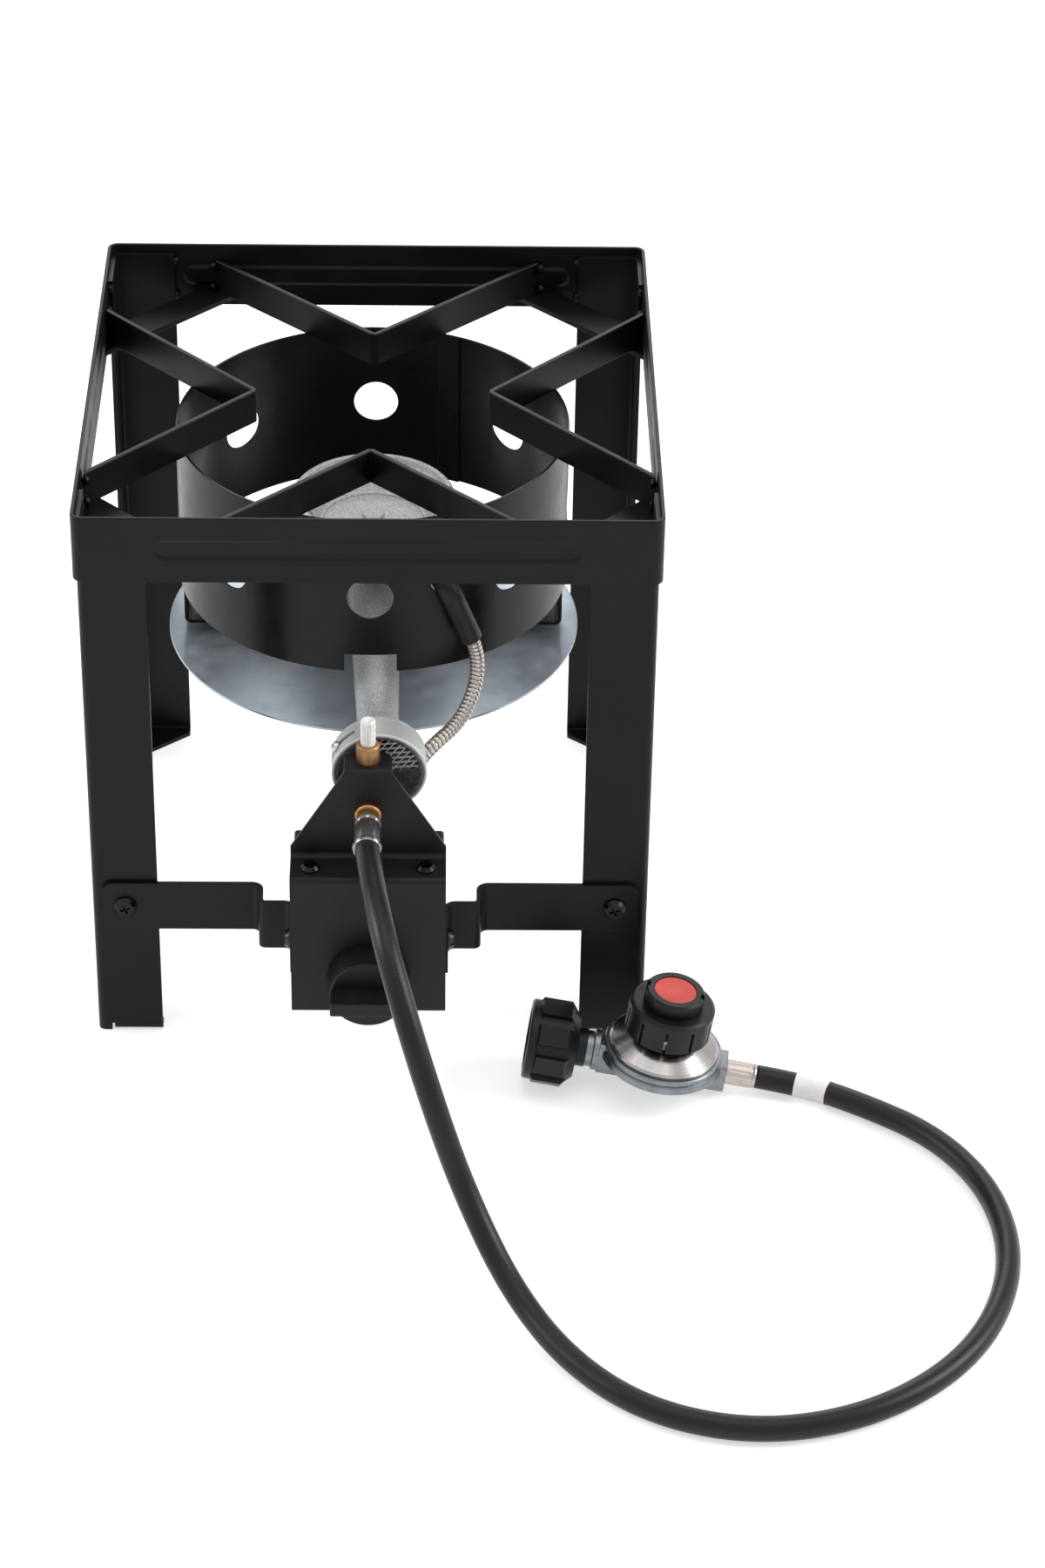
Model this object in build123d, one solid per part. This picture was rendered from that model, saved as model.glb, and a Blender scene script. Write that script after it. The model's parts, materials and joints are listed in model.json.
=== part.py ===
import os
from math import cos, pi, radians, sin, sqrt, tan

from build123d import *

# Driving dimensions in millimetres and degrees. The stand is centred on the
# vertical axis, X points right, Y points to the rear, Z = 0 is the floor.

# Square stand of pressed sheet
STAND_HEIGHT = 330.0
RIM_SIDE = 305.0
RIM_BAND = 38.0
RIM_SHEET = 2.0
RIM_CORNER = 5.5
BEAD_LENGTH = 221.0
BEAD_HEIGHT = 12.5
BEAD_DEPTH = 0.8
BEAD_SLOPE = 2.0
LEG_FACE = 35.5
LEG_SHEET = 2.5
LEG_BEND = 4.0
LEG_TOP_DROP = 5.0
EDGE_ROUND = 0.6
FOOT_START = 9.0
FOOT_WIDTH = 26.5
FOOT_DEPTH = 30.0
FOOT_SHORT = 8.0
FOOT_RELIEF = 1.5
FOOT_RELIEF_HEIGHT = 4.5

# V shaped bars that carry the pot, and the flat straps under their ends
SUPPORT_HEIGHT = 19.0
SUPPORT_SHEET = 3.0
SUPPORT_DROP = 9.5
SUPPORT_TIP = 62.9
SUPPORT_SPREAD = 92.0
SUPPORT_BEND = 3.6
CORNER_WIDTH = 19.0
CORNER_SHEET = 3.0
CORNER_SHIFT = 3.0

# Wind shield, strap and heat plate
SHIELD_RADIUS = 107.0
SHIELD_HEIGHT = 93.0
SHIELD_SHEET = 1.2
SHIELD_HOLES = 8
SHIELD_HOLE_D = 25.0
SHIELD_HOLE_DROP = 47.2
SHIELD_NOTCH_WIDTH = 28.0
SHIELD_NOTCH_HEIGHT = 10.5
SEAM_ANGLE = 66.8
SEAM_ARC = 7.0
STRAP_WIDTH = 28.0
STRAP_SHEET = 2.0
STRAP_DROP = 28.5
STRAP_LAP = 19.5
STRAP_BEND = 4.0
PLATE_RADIUS = 114.0
PLATE_SHEET = 1.2
SPACER_HEIGHT = 5.0
SPACER_RADIUS = 7.0

# Cast burner
BOWL_HEIGHT = 68.0
BOWL_RADIUS = 45.0
BOWL_WALL = 4.5
NECK_RADIUS = 17.0
PAD_RADIUS = 14.0
PAD_HEIGHT = 8.0
DISH_DEPTH = 17.5
DISH_SLOPE_RUN = 16.5
DISH_WALL = 3.2
PORTS = 24
PORT_D = 4.6
BOLT_RADIUS = 3.0
BOLT_HEAD_AF = 11.0
BOLT_HEAD_HEIGHT = 5.0
NUT_HEIGHT = 5.0

# Mixing tube with its air bell
TUBE_TILT = 4.5
BURNER_YAW = 1.9
TUBE_RISE = 18.0
MOUTH_OVERHANG = 18.5
TUBE_ROOT_RADIUS = 14.2
TUBE_NECK_RADIUS = 10.6
TUBE_WALL = 3.0
BELL_RADIUS = 25.0
BELL_LENGTH = 22.0
BELL_WALL = 2.8
SCREEN_SHEET = 0.8
SCREEN_PITCH = 3.1
SCREEN_WIRE = 0.8
SHUTTER_SHEET = 1.2
SHUTTER_RECESS = 1.0
SHUTTER_HUB = 7.0
SHUTTER_RING = 4.0
SHUTTER_WINDOW = 88.0
SHUTTER_WINDOW_START = 3.0
CUP_LENGTH = 13.5
SLOT_SETBACK = 8.0
SLOT_MID_ANGLE = 153.0
SLOT_ARC = 64.0
SHUTTER_SCREW_RADIUS = 1.2

# Safety valve and its button
VALVE_RADIUS = 9.0
VALVE_SETBACK = 10.0
VALVE_BELOW = 22.5
INLET_DROP = 10.9
TAB_RISE = 15.0
ORIFICE_RADIUS = 3.6
ORIFICE_LENGTH = 12.0
MAGNET_RADIUS = 6.0
MAGNET_HEIGHT = 6.5
COLLAR_RADIUS = 6.3
COLLAR_HEIGHT = 10.5
BUTTON_RADIUS = 4.0
BUTTON_RISE = 14.4
BUTTON_TRAVEL = 4.0
BUTTON_RIBS = 16

# Panel and timer box
PANEL_WIDTH = 82.0
PANEL_SHEET = 1.5
PANEL_FACE_HEIGHT = 85.5
PANEL_STEP = 21.5
PANEL_BEND = 3.0
UPRIGHT_HEIGHT = 54.0
UPRIGHT_SHOULDER = 6.0
UPRIGHT_SETBACK = 11.0
TAB_WIDTH = 24.8
TAB_LENGTH = 19.4
TAB_CORNER = 8.0
HOUSING_WIDTH = 79.6
HOUSING_DEPTH = 44.4
HOUSING_SHEET = 1.2
KNOB_DIAMETER = 43.6
KNOB_FACE = 40.4
KNOB_DEPTH = 16.5
KNOB_RISE = 22.5
KNOB_GRIP = 8.0
KNOB_GRIP_DEPTH = 13.2
SHAFT_RADIUS = 2.5
PANEL_SCREW_SPACING = 60.8
PANEL_SCREW_SHARE = 0.48
PANEL_SCREW_LENGTH = 9.0
PANEL_SCREW_HEAD = 5.0
SMALL_HEAD_HEIGHT = 3.0

# Bars from the front legs to the timer box
BAR_HEIGHT = 30.0
BAR_SHEET = 2.5
BAR_BEND = 4.0
BAR_RISE = 9.0
BAR_JOG_X = 60.0
BAR_FLANGE = 22.0
BAR_END_INSET = 5.5
LEG_SCREW_INSET = 18.0
LEG_SCREW_LENGTH = 12.0
LEG_SCREW_HEAD = 6.2
LEG_HEAD_HEIGHT = 3.4
LEG_NUT_AF = 8.0
LEG_NUT_HEIGHT = 4.0
SIDE_SCREW_LENGTH = 9.0
SIDE_SCREW_HEAD = 5.5
SCREW_RADIUS = 2.4

# Flame sensor
SENSOR_ANGLE = 21.0
SENSOR_DROP = 40.0
SLEEVE_RADIUS = 6.0
PROBE_COLLAR = 4.1
PROBE_RADIUS = 2.75
PROBE_TIP = 50.0
LEAD_RADIUS = 4.0
LEAD_BORE = 2.4
LEAD_RIB_DEPTH = 0.7
LEAD_RIBS = 40
GLAND_SHEET = 2.0

# Gas hose
HOSE_RADIUS = 6.5
HOSE_OVERRUN = 3.0
FERRULE_RADIUS = 6.8
FERRULE_END_RADIUS = 7.85
FERRULE_LENGTH = 23.0
FERRULE_BORE = 3.0
FERRULE_END = 3.0
INLET_NUT_RADIUS = 7.1
INLET_NUT_LENGTH = 8.0
INLET_NECK = 11.0
PAPER_GAP = 0.1
PAPER_SHEET = 0.3
PAPER_RUN = 6.0
PAPER_BEND = 0.55

# Regulator at the end of the hose, lying on the floor
REGULATOR_X = 158.0
REGULATOR_Y = -198.0
REGULATOR_Z = 17.0
REGULATOR_YAW = -5.0
REGULATOR_TILT = 8.0
FLANGE_RADIUS = 33.4
FLANGE_BASE = 2.4
FLANGE_HEIGHT = 5.0
CRIMP_RADIUS = 32.2
CRIMP_HEIGHT = 3.3
CUP_DEPTH = 8.5
BOSS_RADIUS = 8.8
BOSS_ROUND = 2.5
OUTLET_REACH = 36.0
OUTLET_FERRULE = 17.0
DIAPHRAGM_SHEET = 1.2
BONNET_RADIUS = 29.9
BONNET_RISE = 9.0
BONNET_NECK = 14.0
BONNET_SHEET = 1.8
COLLAR_OUTER = 23.3
COLLAR_DROP = 18.0
COLLAR_WALL = 2.8
COLLAR_SLOTS = 10
COLLAR_SLOT_WIDTH = 1.6
ADJUST_RADIUS = 16.1
ADJUST_HEIGHT = 7.9
ADJUST_STEM = 11.9
LABEL_RADIUS = 11.4
NIPPLE_RADIUS = 8.2
RETAINER_RADIUS = 10.5
RETAINER_LENGTH = 5.0
NUT_RADIUS = 23.5
NUT_CORE = 20.8
NUT_PAD_WIDTH = 11.0
NUT_LENGTH = 27.0
NUT_BORE = 16.5
NUT_THREAD = 12.5
NUT_WALL = 4.7
NUT_PADS = 8
INLET_REACH = 46.0

# Clearances
RUN_GAP = 0.3
HOLE_GAP = 0.15
THREAD_GAP = 0.05
SHAFT_GAP = 0.05

# Levels and places that follow from the driving dimensions
LEG_PLANE = RIM_SIDE / 2 - RIM_SHEET
SUPPORT_TOP = STAND_HEIGHT - SUPPORT_DROP
SUPPORT_LOW = SUPPORT_TOP - SUPPORT_HEIGHT
SHIELD_LOW = SUPPORT_LOW - SHIELD_HEIGHT
SHIELD_INNER = SHIELD_RADIUS - SHIELD_SHEET
STRAP_LOW = SHIELD_LOW - STRAP_DROP
PAD_LOW = STRAP_LOW + STRAP_SHEET
PLATE_TOP = STRAP_LOW - SPACER_HEIGHT
BOWL_TOP = PAD_LOW + BOWL_HEIGHT
DISH_TOP = BOWL_TOP + 6.0
DISH_FLOOR = DISH_TOP - DISH_DEPTH
DISH_FLOOR_RADIUS = BOWL_RADIUS - DISH_SLOPE_RUN
TUBE_Z = PAD_LOW + TUBE_RISE
REACH = RIM_SIDE / 2 + MOUTH_OVERHANG
MOUTH = REACH / cos(radians(TUBE_TILT)) / cos(radians(BURNER_YAW))
MOUTH_X = REACH * tan(radians(BURNER_YAW))
MOUTH_Y = -REACH
MOUTH_Z = TUBE_Z - MOUTH * sin(radians(TUBE_TILT))
BELL_BACK = MOUTH - BELL_LENGTH
CUP_INNER = BELL_RADIUS - SHUTTER_SHEET
CAST_BELL = CUP_INNER - RUN_GAP
BELL_INNER = CAST_BELL - BELL_WALL
SHUTTER_FRONT = MOUTH - SHUTTER_RECESS
SHUTTER_BACK = SHUTTER_FRONT - SHUTTER_SHEET
SCREEN_BACK = SHUTTER_BACK - SCREEN_SHEET
CAST_END = SCREEN_BACK - RUN_GAP
CUP_BACK = MOUTH - CUP_LENGTH
SLOT_MID = MOUTH - SLOT_SETBACK
OUTLET_END = MOUTH_Y - 1.0
VALVE_Y = MOUTH_Y - VALVE_SETBACK
UPRIGHT_Y = VALVE_Y - UPRIGHT_SETBACK
INLET_Z = MOUTH_Z - INLET_DROP
TAB_TOP = MOUTH_Z + TAB_RISE
TAB_LOW = TAB_TOP - PANEL_SHEET
STEP_Z = TAB_TOP - UPRIGHT_HEIGHT
PANEL_LOW = STEP_Z - PANEL_FACE_HEIGHT
PANEL_FRONT = UPRIGHT_Y - PANEL_STEP
PANEL_BACK = PANEL_FRONT + PANEL_SHEET
PANEL_SCREW_Y = PANEL_FRONT + PANEL_STEP * PANEL_SCREW_SHARE
HOUSING_TOP = STEP_Z - PANEL_SHEET
HOUSING_LOW = PANEL_LOW + 0.5
HOUSING_FRONT = PANEL_BACK + PANEL_BEND / 2 + HOLE_GAP
HOUSING_BACK = HOUSING_FRONT + HOUSING_DEPTH
KNOB_Z = PANEL_LOW + KNOB_RISE
KNOB_FRONT = PANEL_FRONT - RUN_GAP - KNOB_DEPTH - KNOB_GRIP_DEPTH
BAR_Z = PANEL_LOW + BAR_RISE + BAR_HEIGHT / 2
BAR_FACE = -LEG_PLANE - BAR_SHEET
FLANGE_Y = HOUSING_BACK - BAR_FLANGE / 2 - 4.5
VALVE_LOW = MOUTH_Z - VALVE_BELOW
BUTTON_TOP = TAB_TOP + COLLAR_HEIGHT + BUTTON_RISE
FERRULE_START = UPRIGHT_Y - INLET_NECK
HOSE_START_Y = FERRULE_START - FERRULE_LENGTH
SHIFT_Y = -(KNOB_FRONT + RIM_SIDE / 2) / 2

UPRIGHT = (Align.CENTER, Align.CENTER, Align.MIN)
TUBE = Pos(0, 0, TUBE_Z) * Rot(0, 0, BURNER_YAW) * Rot(90 + TUBE_TILT, 0, 0)
FACE = Pos(0, PANEL_FRONT, KNOB_Z) * Rot(90, 0, 0)
REGULATOR_PLACE = Pos(REGULATOR_X, REGULATOR_Y, REGULATOR_Z)
REGULATOR = REGULATOR_PLACE * Rot(0, 0, REGULATOR_YAW) * Rot(0, REGULATOR_TILT, 0)
TOWARD_X = Rot(0, 90, 0)


def turned(*points):
    """Solid of revolution about Z from (radius, height) points."""
    return revolve(make_face(Plane.XZ * Polyline(*points, close=True)), Axis.Z)


def rod(start, end, radius):
    """Cylinder between two points."""
    run = Vector(*end) - Vector(*start)
    return Plane(origin=start, z_dir=run) * Cylinder(radius, run.length, align=UPRIGHT)


def hexagon(start, end, across):
    """Hexagonal prism between two points."""
    run = Vector(*end) - Vector(*start)
    return extrude(Plane(origin=start, z_dir=run) * RegularPolygon(across / sqrt(3), 6), run.length)


def block(x, y, z):
    """Box from three (low, high) pairs."""
    size = [high - low for low, high in (x, y, z)]
    mid = [(high + low) / 2 for low, high in (x, y, z)]
    return Pos(*mid) * Box(*size)


def cross_screw(start, head_end, tip, head_radius, shank_radius):
    """Pan head screw with a cross recess: head from start to head_end, shank from start to tip."""
    start, head_end, tip = Vector(*start), Vector(*head_end), Vector(*tip)
    out = Plane(origin=start, z_dir=head_end - start)
    height = (head_end - start).length
    length = (tip - start).length
    solid = out * turned(
        (0, -length), (shank_radius, -length), (shank_radius, 0), (head_radius, 0),
        (head_radius, 0.35 * height), (0.72 * head_radius, height), (0, height))
    for turn in (0, 90):
        arm = Pos(0, 0, height) * Rot(0, 0, turn + 20) * Box(0.95 * head_radius, 1.3, 0.9 * height)
        solid -= out * arm
    return solid


def bent_strip(points, radius, sheet, side):
    """Face of a bent sheet whose outer line follows the points."""
    return make_face(offset(FilletPolyline(*points, radius=radius), amount=sheet, side=side))


# Stand

def top_rim():
    outer = RectangleRounded(RIM_SIDE, RIM_SIDE, RIM_CORNER)
    inside = RIM_SIDE - 2 * RIM_SHEET
    inner = RectangleRounded(inside, inside, RIM_CORNER - RIM_SHEET)
    band = extrude(Pos(0, 0, STAND_HEIGHT - RIM_BAND) * (outer - inner), RIM_BAND)
    band = fillet(band.edges().group_by(Axis.Z)[-1], EDGE_ROUND)
    bead = SlotOverall(BEAD_LENGTH, BEAD_HEIGHT)
    crest = SlotOverall(BEAD_LENGTH - 2 * BEAD_SLOPE, BEAD_HEIGHT - 2 * BEAD_SLOPE)
    ridge = loft([Pos(0, 0, -RIM_SHEET) * bead, Pos(0, 0, -RIM_SHEET - BEAD_DEPTH) * crest])
    groove = loft([bead, Pos(0, 0, -BEAD_DEPTH) * crest])
    middle = STAND_HEIGHT - RIM_BAND / 2
    for turn in (0, 90, 180, 270):
        front = Rot(0, 0, turn) * Pos(0, -RIM_SIDE / 2, middle) * Rot(90, 0, 0)
        band = band + front * ridge - front * groove
    return band


def leg():
    """Front left leg; the others are mirrored from it."""
    corner = -LEG_PLANE
    angle = bent_strip(
        ((corner + LEG_FACE, corner), (corner, corner), (corner, corner + LEG_FACE)),
        LEG_BEND, LEG_SHEET, Side.RIGHT)
    body = extrude(angle, STAND_HEIGHT - LEG_TOP_DROP)
    tab_left = corner + FOOT_START
    tab_right = tab_left + FOOT_WIDTH
    depth = (corner - 1, corner + LEG_SHEET + 0.01)
    body -= block((tab_left - FOOT_RELIEF, corner + LEG_FACE + 1), depth, (-1, FOOT_RELIEF_HEIGHT))
    profile = bent_strip(
        ((corner, FOOT_RELIEF_HEIGHT), (corner, 0), (corner + FOOT_DEPTH, 0)),
        LEG_SHEET + 0.8, LEG_SHEET, Side.LEFT)
    tab = extrude(Plane.YZ.offset(tab_left) * profile, FOOT_WIDTH, dir=(1, 0, 0))
    keep = extrude(make_face(Polyline(
        (tab_left, corner), (tab_right, corner), (tab_right, corner + FOOT_SHORT),
        (tab_left, corner + FOOT_DEPTH), close=True)), FOOT_RELIEF_HEIGHT, dir=(0, 0, 1))
    body += tab & keep
    hole_x = corner + LEG_SCREW_INSET
    hole = rod((hole_x, corner - 1, BAR_Z), (hole_x, corner + LEG_SHEET + 1, BAR_Z), SCREW_RADIUS + HOLE_GAP)
    return body, body - hole


def pot_support():
    """Front bar: a flat bar on edge, bent to a V, that ends on the bead of the rim."""
    end = -(LEG_PLANE - BEAD_DEPTH)
    run = Vector(SUPPORT_SPREAD, end + SUPPORT_TIP).normalized()
    half_angle = radians(Vector(0, -1).get_angle(Vector(run.X, run.Y)))
    apex = -SUPPORT_TIP + SUPPORT_BEND * (1 / sin(half_angle) - 1)
    over = 1.08
    reach_y = apex + (end - apex) * over
    path = FilletPolyline(
        (-SUPPORT_SPREAD * over, reach_y), (0, apex), (SUPPORT_SPREAD * over, reach_y), radius=SUPPORT_BEND)
    strip = make_face(offset(path, amount=SUPPORT_SHEET, side=Side.RIGHT))
    bar = extrude(Pos(0, 0, SUPPORT_LOW) * strip, SUPPORT_HEIGHT)
    bar = fillet(bar.edges().group_by(Axis.Z)[-1], EDGE_ROUND)
    return bar & block((-RIM_SIDE, RIM_SIDE), (end, 0), (0, STAND_HEIGHT))


def corner_straps():
    """Four flat straps across the corners of the rim, under the ends of the V bars."""
    reach = (SUPPORT_SPREAD - CORNER_SHIFT + LEG_PLANE) / sqrt(2)
    end = LEG_PLANE - THREAD_GAP
    inner = reach * sqrt(2) - CORNER_WIDTH / sqrt(2) - end
    outer = inner + CORNER_WIDTH * sqrt(2)
    outline = make_face(Polyline((inner, end), (outer, end), (end, outer), (end, inner), close=True))
    strap = extrude(Pos(0, 0, SUPPORT_LOW - CORNER_SHEET) * outline, CORNER_SHEET, dir=(0, 0, 1))
    return Compound(children=[Rot(0, 0, turn) * strap for turn in (0, 90, 180, 270)])


def wind_shield():
    ring = Circle(SHIELD_RADIUS) - Circle(SHIELD_INNER)
    shield = extrude(Pos(0, 0, SHIELD_LOW) * ring, SHIELD_HEIGHT)
    lap_middle = Pos(SHIELD_INNER - SHIELD_SHEET / 2 + 0.1, SHIELD_LOW + SHIELD_HEIGHT / 2)
    lap = Plane.XZ * lap_middle * Rectangle(SHIELD_SHEET + 0.2, SHIELD_HEIGHT)
    shield += Rot(0, 0, SEAM_ANGLE - SEAM_ARC / 2) * revolve(lap, Axis.Z, SEAM_ARC)
    hole_z = SUPPORT_LOW - SHIELD_HOLE_DROP
    for number in range(SHIELD_HOLES):
        turn = Rot(0, 0, number * 360 / SHIELD_HOLES)
        inside = (0, -SHIELD_RADIUS + 12, hole_z)
        outside = (0, -SHIELD_RADIUS - 5, hole_z)
        shield -= turn * rod(inside, outside, SHIELD_HOLE_D / 2)
    notch = SHIELD_NOTCH_WIDTH / 2
    shield -= block((-notch, notch), (-SHIELD_RADIUS - 5, -SHIELD_RADIUS + 12),
                    (SHIELD_LOW - 1, SHIELD_LOW + SHIELD_NOTCH_HEIGHT))
    sensor_z = SUPPORT_LOW - SENSOR_DROP
    shield -= Rot(0, 0, SENSOR_ANGLE) * rod(
        (0, -SHIELD_RADIUS + 12, sensor_z), (0, -SHIELD_RADIUS - 5, sensor_z), SLEEVE_RADIUS + 2 * RUN_GAP)
    return shield


def burner_strap():
    reach = sqrt(SHIELD_INNER ** 2 - (STRAP_WIDTH / 2) ** 2) - HOLE_GAP
    top = SHIELD_LOW + STRAP_LAP
    profile = bent_strip(
        ((-reach, top), (-reach, STRAP_LOW), (reach, STRAP_LOW), (reach, top)),
        STRAP_BEND, STRAP_SHEET, Side.LEFT)
    strap = extrude(Plane.XZ * profile, STRAP_WIDTH / 2, both=True)
    return strap - Pos(0, 0, STRAP_LOW) * Cylinder(BOLT_RADIUS + HOLE_GAP, 10)


def heat_plate():
    plate = Pos(0, 0, PLATE_TOP - PLATE_SHEET) * Cylinder(PLATE_RADIUS, PLATE_SHEET, align=UPRIGHT)
    return plate - Pos(0, 0, PLATE_TOP) * Cylinder(BOLT_RADIUS + HOLE_GAP, 10)


def plate_spacer():
    ring = Circle(SPACER_RADIUS) - Circle(BOLT_RADIUS + HOLE_GAP)
    return extrude(Pos(0, 0, PLATE_TOP) * ring, SPACER_HEIGHT)


# Burner casting

def slope_point(share, normal=0.0):
    """Point on the inner slope of the dish, as (radius, height)."""
    low = Vector(DISH_FLOOR_RADIUS + 1, DISH_FLOOR + 1)
    high = Vector(BOWL_RADIUS - 5, DISH_TOP - 3)
    along = high - low
    out = Vector(along.Y, -along.X).normalized()
    point = low + along * share + out * normal
    return point.X, point.Y


def burner_body():
    wall = BOWL_WALL
    outer = turned(
        (0, PAD_LOW), (PAD_RADIUS, PAD_LOW), (PAD_RADIUS, PAD_LOW + 4), (NECK_RADIUS, PAD_LOW + 6),
        (NECK_RADIUS + 2, TUBE_Z + 5), (NECK_RADIUS + 5, TUBE_Z + 14), (BOWL_RADIUS - 7, BOWL_TOP - 14),
        (BOWL_RADIUS - 1, BOWL_TOP - 4), (BOWL_RADIUS, BOWL_TOP), (0, BOWL_TOP))
    inner = turned(
        (0, PAD_LOW + PAD_HEIGHT), (NECK_RADIUS - 3, PAD_LOW + PAD_HEIGHT), (NECK_RADIUS - 1.5, TUBE_Z + 6),
        (NECK_RADIUS + 2, TUBE_Z + 16), (BOWL_RADIUS - 10, BOWL_TOP - 12),
        (BOWL_RADIUS - wall, BOWL_TOP - 3), (BOWL_RADIUS - wall, BOWL_TOP + 1), (0, BOWL_TOP + 1))
    step = CUP_BACK - RUN_GAP
    tube = TUBE * turned(
        (0, 0), (TUBE_ROOT_RADIUS, 0), (TUBE_ROOT_RADIUS, 16), (TUBE_NECK_RADIUS, BELL_BACK - 0.5),
        (TUBE_NECK_RADIUS + 2.4, BELL_BACK + 0.4), (BELL_RADIUS - 5, BELL_BACK + 1.6),
        (BELL_RADIUS - 1.4, BELL_BACK + 3.8), (BELL_RADIUS - 0.2, BELL_BACK + 6), (BELL_RADIUS - 0.2, step),
        (CAST_BELL, step), (CAST_BELL, CAST_END), (0, CAST_END))
    bore = TUBE * turned(
        (0, 0), (TUBE_ROOT_RADIUS - TUBE_WALL, 0), (TUBE_NECK_RADIUS - TUBE_WALL, BELL_BACK - 8),
        (TUBE_NECK_RADIUS - TUBE_WALL + 0.6, BELL_BACK - 1), (BELL_INNER - 6, BELL_BACK + 5),
        (BELL_INNER, BELL_BACK + 9), (BELL_INNER, MOUTH), (0, MOUTH))
    hole = TUBE * Rot(0, 0, SLOT_MID_ANGLE) * rod(
        (BELL_INNER - 1, 0, SLOT_MID), (BELL_RADIUS, 0, SLOT_MID), SHUTTER_SCREW_RADIUS + THREAD_GAP)
    body = outer + tube - inner - bore - hole
    return body - Pos(0, 0, PAD_LOW) * Cylinder(BOLT_RADIUS + HOLE_GAP, 4 * PAD_HEIGHT)


def burner_head():
    floor_low = DISH_FLOOR - 3.5
    spigot = BOWL_RADIUS - BOWL_WALL - RUN_GAP
    low_r, low_z = slope_point(0.0, DISH_WALL)
    high_r, high_z = slope_point(0.8, DISH_WALL)
    spigot_r = min(high_r, spigot)
    head = turned(
        (0, floor_low), (DISH_FLOOR_RADIUS, floor_low), (low_r, low_z), (spigot_r, high_z),
        (spigot_r, BOWL_TOP), (BOWL_RADIUS, BOWL_TOP), (BOWL_RADIUS, DISH_TOP - 1.6),
        (BOWL_RADIUS - 1.4, DISH_TOP), (BOWL_RADIUS - 3.6, DISH_TOP), slope_point(1.0), slope_point(0.0),
        (DISH_FLOOR_RADIUS - 0.6, DISH_FLOOR + 1), (DISH_FLOOR_RADIUS - 0.6, DISH_FLOOR), (0, DISH_FLOOR))
    inner = slope_point(0.42, -4)
    outer = slope_point(0.42, 9)
    for number in range(PORTS):
        turn = Rot(0, 0, (number + 0.5) * 360 / PORTS)
        head -= turn * rod((inner[0], 0, inner[1]), (outer[0], 0, outer[1]), PORT_D / 2)
    return head - Pos(0, 0, DISH_FLOOR) * Cylinder(BOLT_RADIUS + HOLE_GAP, 20)


def burner_bolt():
    low = PLATE_TOP - PLATE_SHEET - NUT_HEIGHT - 2.5
    bolt = rod((0, 0, low), (0, 0, DISH_FLOOR), BOLT_RADIUS)
    return bolt + hexagon((0, 0, DISH_FLOOR), (0, 0, DISH_FLOOR + BOLT_HEAD_HEIGHT), BOLT_HEAD_AF)


def burner_nut():
    top = PLATE_TOP - PLATE_SHEET
    nut = hexagon((0, 0, top - NUT_HEIGHT), (0, 0, top), BOLT_HEAD_AF)
    return nut - rod((0, 0, top - NUT_HEIGHT - 1), (0, 0, top + 1), BOLT_RADIUS + THREAD_GAP)


def air_screen():
    """Net welded to the back of the shutter's disc."""
    disc = Circle(CUP_INNER - 1.0) - Circle(ORIFICE_RADIUS + 2)
    opening = SCREEN_PITCH - SCREEN_WIRE
    reach = int(BELL_RADIUS / SCREEN_PITCH) + 1
    places = []
    for column in range(-reach, reach + 1):
        for row in range(-reach, reach + 1):
            x = (column + 0.5) * SCREEN_PITCH
            y = (row + 0.5) * SCREEN_PITCH
            far = sqrt(x ** 2 + y ** 2)
            if ORIFICE_RADIUS + 4 < far < CUP_INNER - 4.2:
                places.append((x, y))
    disc -= [Rot(0, 0, 45) * Pos(x, y) * Rectangle(opening, opening) for x, y in places]
    return TUBE * extrude(Pos(0, 0, SCREEN_BACK) * disc, SCREEN_SHEET)


def air_shutter():
    """Sheet cup over the mouth of the bell, with two windows and the arc slot of its lock screw."""
    disc = Circle(CUP_INNER + 0.01) - Circle(ORIFICE_RADIUS + 1.4)
    ring = Circle(BELL_RADIUS - SHUTTER_RING) - Circle(SHUTTER_HUB)
    half = 2 * BELL_RADIUS
    for start in (SHUTTER_WINDOW_START, SHUTTER_WINDOW_START + 180):
        first = radians(start)
        middle = radians(start + SHUTTER_WINDOW / 2)
        last = radians(start + SHUTTER_WINDOW)
        wedge = make_face(Polyline(
            (0, 0), (half * cos(first), half * sin(first)), (half * cos(middle), half * sin(middle)),
            (half * cos(last), half * sin(last)), close=True))
        disc -= ring & wedge
    shutter = extrude(Pos(0, 0, SHUTTER_BACK) * disc, SHUTTER_SHEET)
    sleeve = Circle(BELL_RADIUS) - Circle(CUP_INNER)
    shutter += extrude(Pos(0, 0, CUP_BACK) * sleeve, CUP_LENGTH)
    gap = SHUTTER_SCREW_RADIUS + RUN_GAP
    window = Plane.XZ * Pos(BELL_RADIUS, SLOT_MID) * Rectangle(4 * SHUTTER_SHEET, 2 * gap)
    slot = Rot(0, 0, SLOT_MID_ANGLE - SLOT_ARC / 2) * revolve(window, Axis.Z, SLOT_ARC)
    return TUBE * (shutter - slot)


def shutter_screw():
    """Lock screw in the casting, with its head over the slot of the cup."""
    seat = BELL_RADIUS + 0.2
    screw = cross_screw(
        (seat, 0, SLOT_MID), (seat + 2.2, 0, SLOT_MID), (BELL_INNER + 0.4, 0, SLOT_MID),
        3.0, SHUTTER_SCREW_RADIUS)
    return TUBE * Rot(0, 0, SLOT_MID_ANGLE) * screw


# Safety valve with its button

NECK_TOP = TAB_TOP + 3.0
SPRING_SEAT = TAB_LOW - 3.0
BUTTON_LOW = NECK_TOP + BUTTON_TRAVEL + 0.6
STEM_RADIUS = 1.5
STEM_LOW = MOUTH_Z + 1.0


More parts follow.
